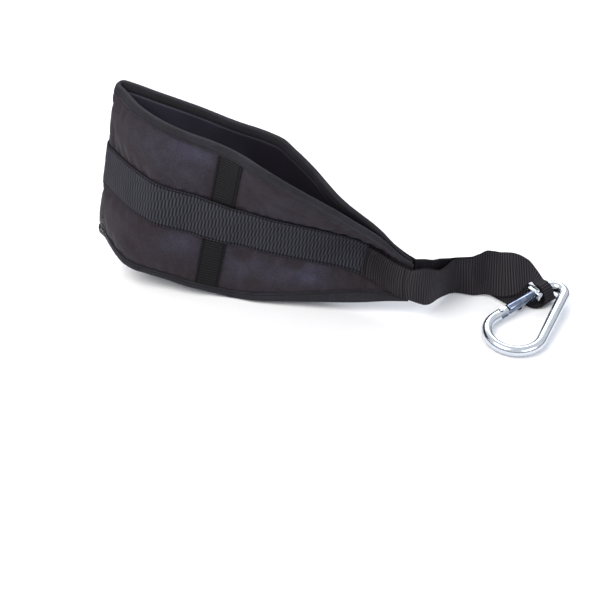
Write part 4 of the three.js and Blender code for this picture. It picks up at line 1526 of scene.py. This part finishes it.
# Soft box lights: place, the place that each looks at, sides, watts and tint
LIGHTS = {
    "key": ((-0.7, -0.5, 1.3), (-0.05, 0, 0.05), (0.9, 0.9), 16, "#fffaf3"),
    "fill": ((0.9, -0.9, 0.8), (0.05, 0, 0.05), (0.9, 0.6), 5, "#eef3ff"),
    "rim": ((0.1, 1.1, 0.9), (-0.05, 0, 0.08), (1.2, 0.5), 9, "#f3f6ff"),
}


def area_light(name, place, aim, size, power, tint):
    """A soft box light that looks at a place."""
    light = bpy.data.lights.new(name, "AREA")
    light.shape = "RECTANGLE"
    light.size, light.size_y = size
    light.energy = power
    light.color = linear(tint)[:3]
    lamp = bpy.data.objects.new(name, light)
    lamp.location = place
    lamp.rotation_euler = (Vector(aim) - Vector(place)).to_track_quat("-Z", "Y").to_euler()
    bpy.context.scene.collection.objects.link(lamp)


def studio_sky(tree):
    """Soft white light from above with a dark room round it, which the zinc plating mirrors as streaks."""
    way = add(tree, "ShaderNodeTexCoord", {}).outputs["Generated"]
    height = add(tree, "ShaderNodeSeparateXYZ", {"Vector": way}).outputs["Z"]
    tones = [(0.0, linear("#5d626b")), (0.1, linear("#2e3138")), (0.34, linear("#eef1f6"))]
    room = add(tree, "ShaderNodeValToRGB", {"Fac": height}, tones).outputs["Color"]
    direct = add(tree, "ShaderNodeLightPath", {}).outputs["Is Camera Ray"]
    inputs = {"Factor": direct, "A": room, "B": linear("#ffffff")}
    seen = add(tree, "ShaderNodeMix", inputs, data_type="RGBA").outputs["Result"]
    feed(tree, tree.nodes["Background"], {"Color": seen, "Strength": 1.0})


class ABSTRAP_OT_studio(bpy.types.Operator):
    """Lays the pale floor, hangs the soft lights and sets up the camera"""

    bl_idname = "abstrap.studio"
    bl_label = "Studio"

    def execute(self, context):
        studio = settings("studio_settings")
        deselect()
        bpy.ops.mesh.primitive_plane_add(size=8, location=(0, 0, 0))
        floor = bpy.context.object
        floor.name = "studio_floor"
        floor.data.materials.append(studio_paper())
        world = bpy.data.worlds.new("studio_world")
        world.use_nodes = True
        studio_sky(world.node_tree)
        scene = bpy.context.scene
        scene.world = world
        for name, light in LIGHTS.items():
            area_light(name, *light)
        camera = bpy.data.cameras.new("camera")
        camera.sensor_width = 36
        camera.lens = studio.focal_length
        seat = bpy.data.objects.new("camera", camera)
        aim = Vector((studio.aim_x, studio.aim_y, 0))
        back = Vector((0, -math.cos(studio.elevation), math.sin(studio.elevation)))
        seat.location = aim + back * studio.distance
        seat.rotation_euler = (math.pi / 2 - studio.elevation, 0, 0)
        scene.collection.objects.link(seat)
        scene.camera = seat
        scene.view_settings.view_transform = "Standard"
        return {"FINISHED"}


PIECES = (
    ABSTRAP_OT_studio,
    ABSTRAP_OT_sleeve_pad,
    ABSTRAP_OT_lining,
    ABSTRAP_OT_hems,
    ABSTRAP_OT_cross_strips,
    ABSTRAP_OT_main_webbing,
    ABSTRAP_OT_strap_loop,
    ABSTRAP_OT_stitching,
    ABSTRAP_OT_hook_body,
    ABSTRAP_OT_hook_gate,
    ABSTRAP_OT_hook_rivet,
)


class ABSTRAP_PT_panel(bpy.types.Panel):
    """Lists the pieces of the ab strap and their settings"""

    bl_idname = "ABSTRAP_PT_panel"
    bl_label = "Ab Strap"
    bl_space_type = "VIEW_3D"
    bl_region_type = "UI"
    bl_category = "Ab Strap"

    def draw(self, context):
        for piece in PIECES:
            self.layout.operator(piece.bl_idname)
        for name in GROUPS:
            box = self.layout.box()
            for field in GROUPS[name].__annotations__:
                box.prop(getattr(context.scene, name), field)


GROUPS = {
    "sleeve_settings": SleeveSettings,
    "webbing_settings": WebbingSettings,
    "stitch_settings": StitchSettings,
    "hook_settings": HookSettings,
    "studio_settings": StudioSettings,
}
CLASSES = (*GROUPS.values(), *PIECES, ABSTRAP_PT_panel)


def register():
    for kind in CLASSES:
        bpy.utils.register_class(kind)
    for name, kind in GROUPS.items():
        setattr(bpy.types.Scene, name, bpy.props.PointerProperty(type=kind))


def unregister():
    for name in GROUPS:
        delattr(bpy.types.Scene, name)
    for kind in reversed(CLASSES):
        bpy.utils.unregister_class(kind)


def main():
    register()
    for piece in PIECES:
        group, name = piece.bl_idname.split(".")
        getattr(getattr(bpy.ops, group), name)()


if __name__ == "__main__":
    main()
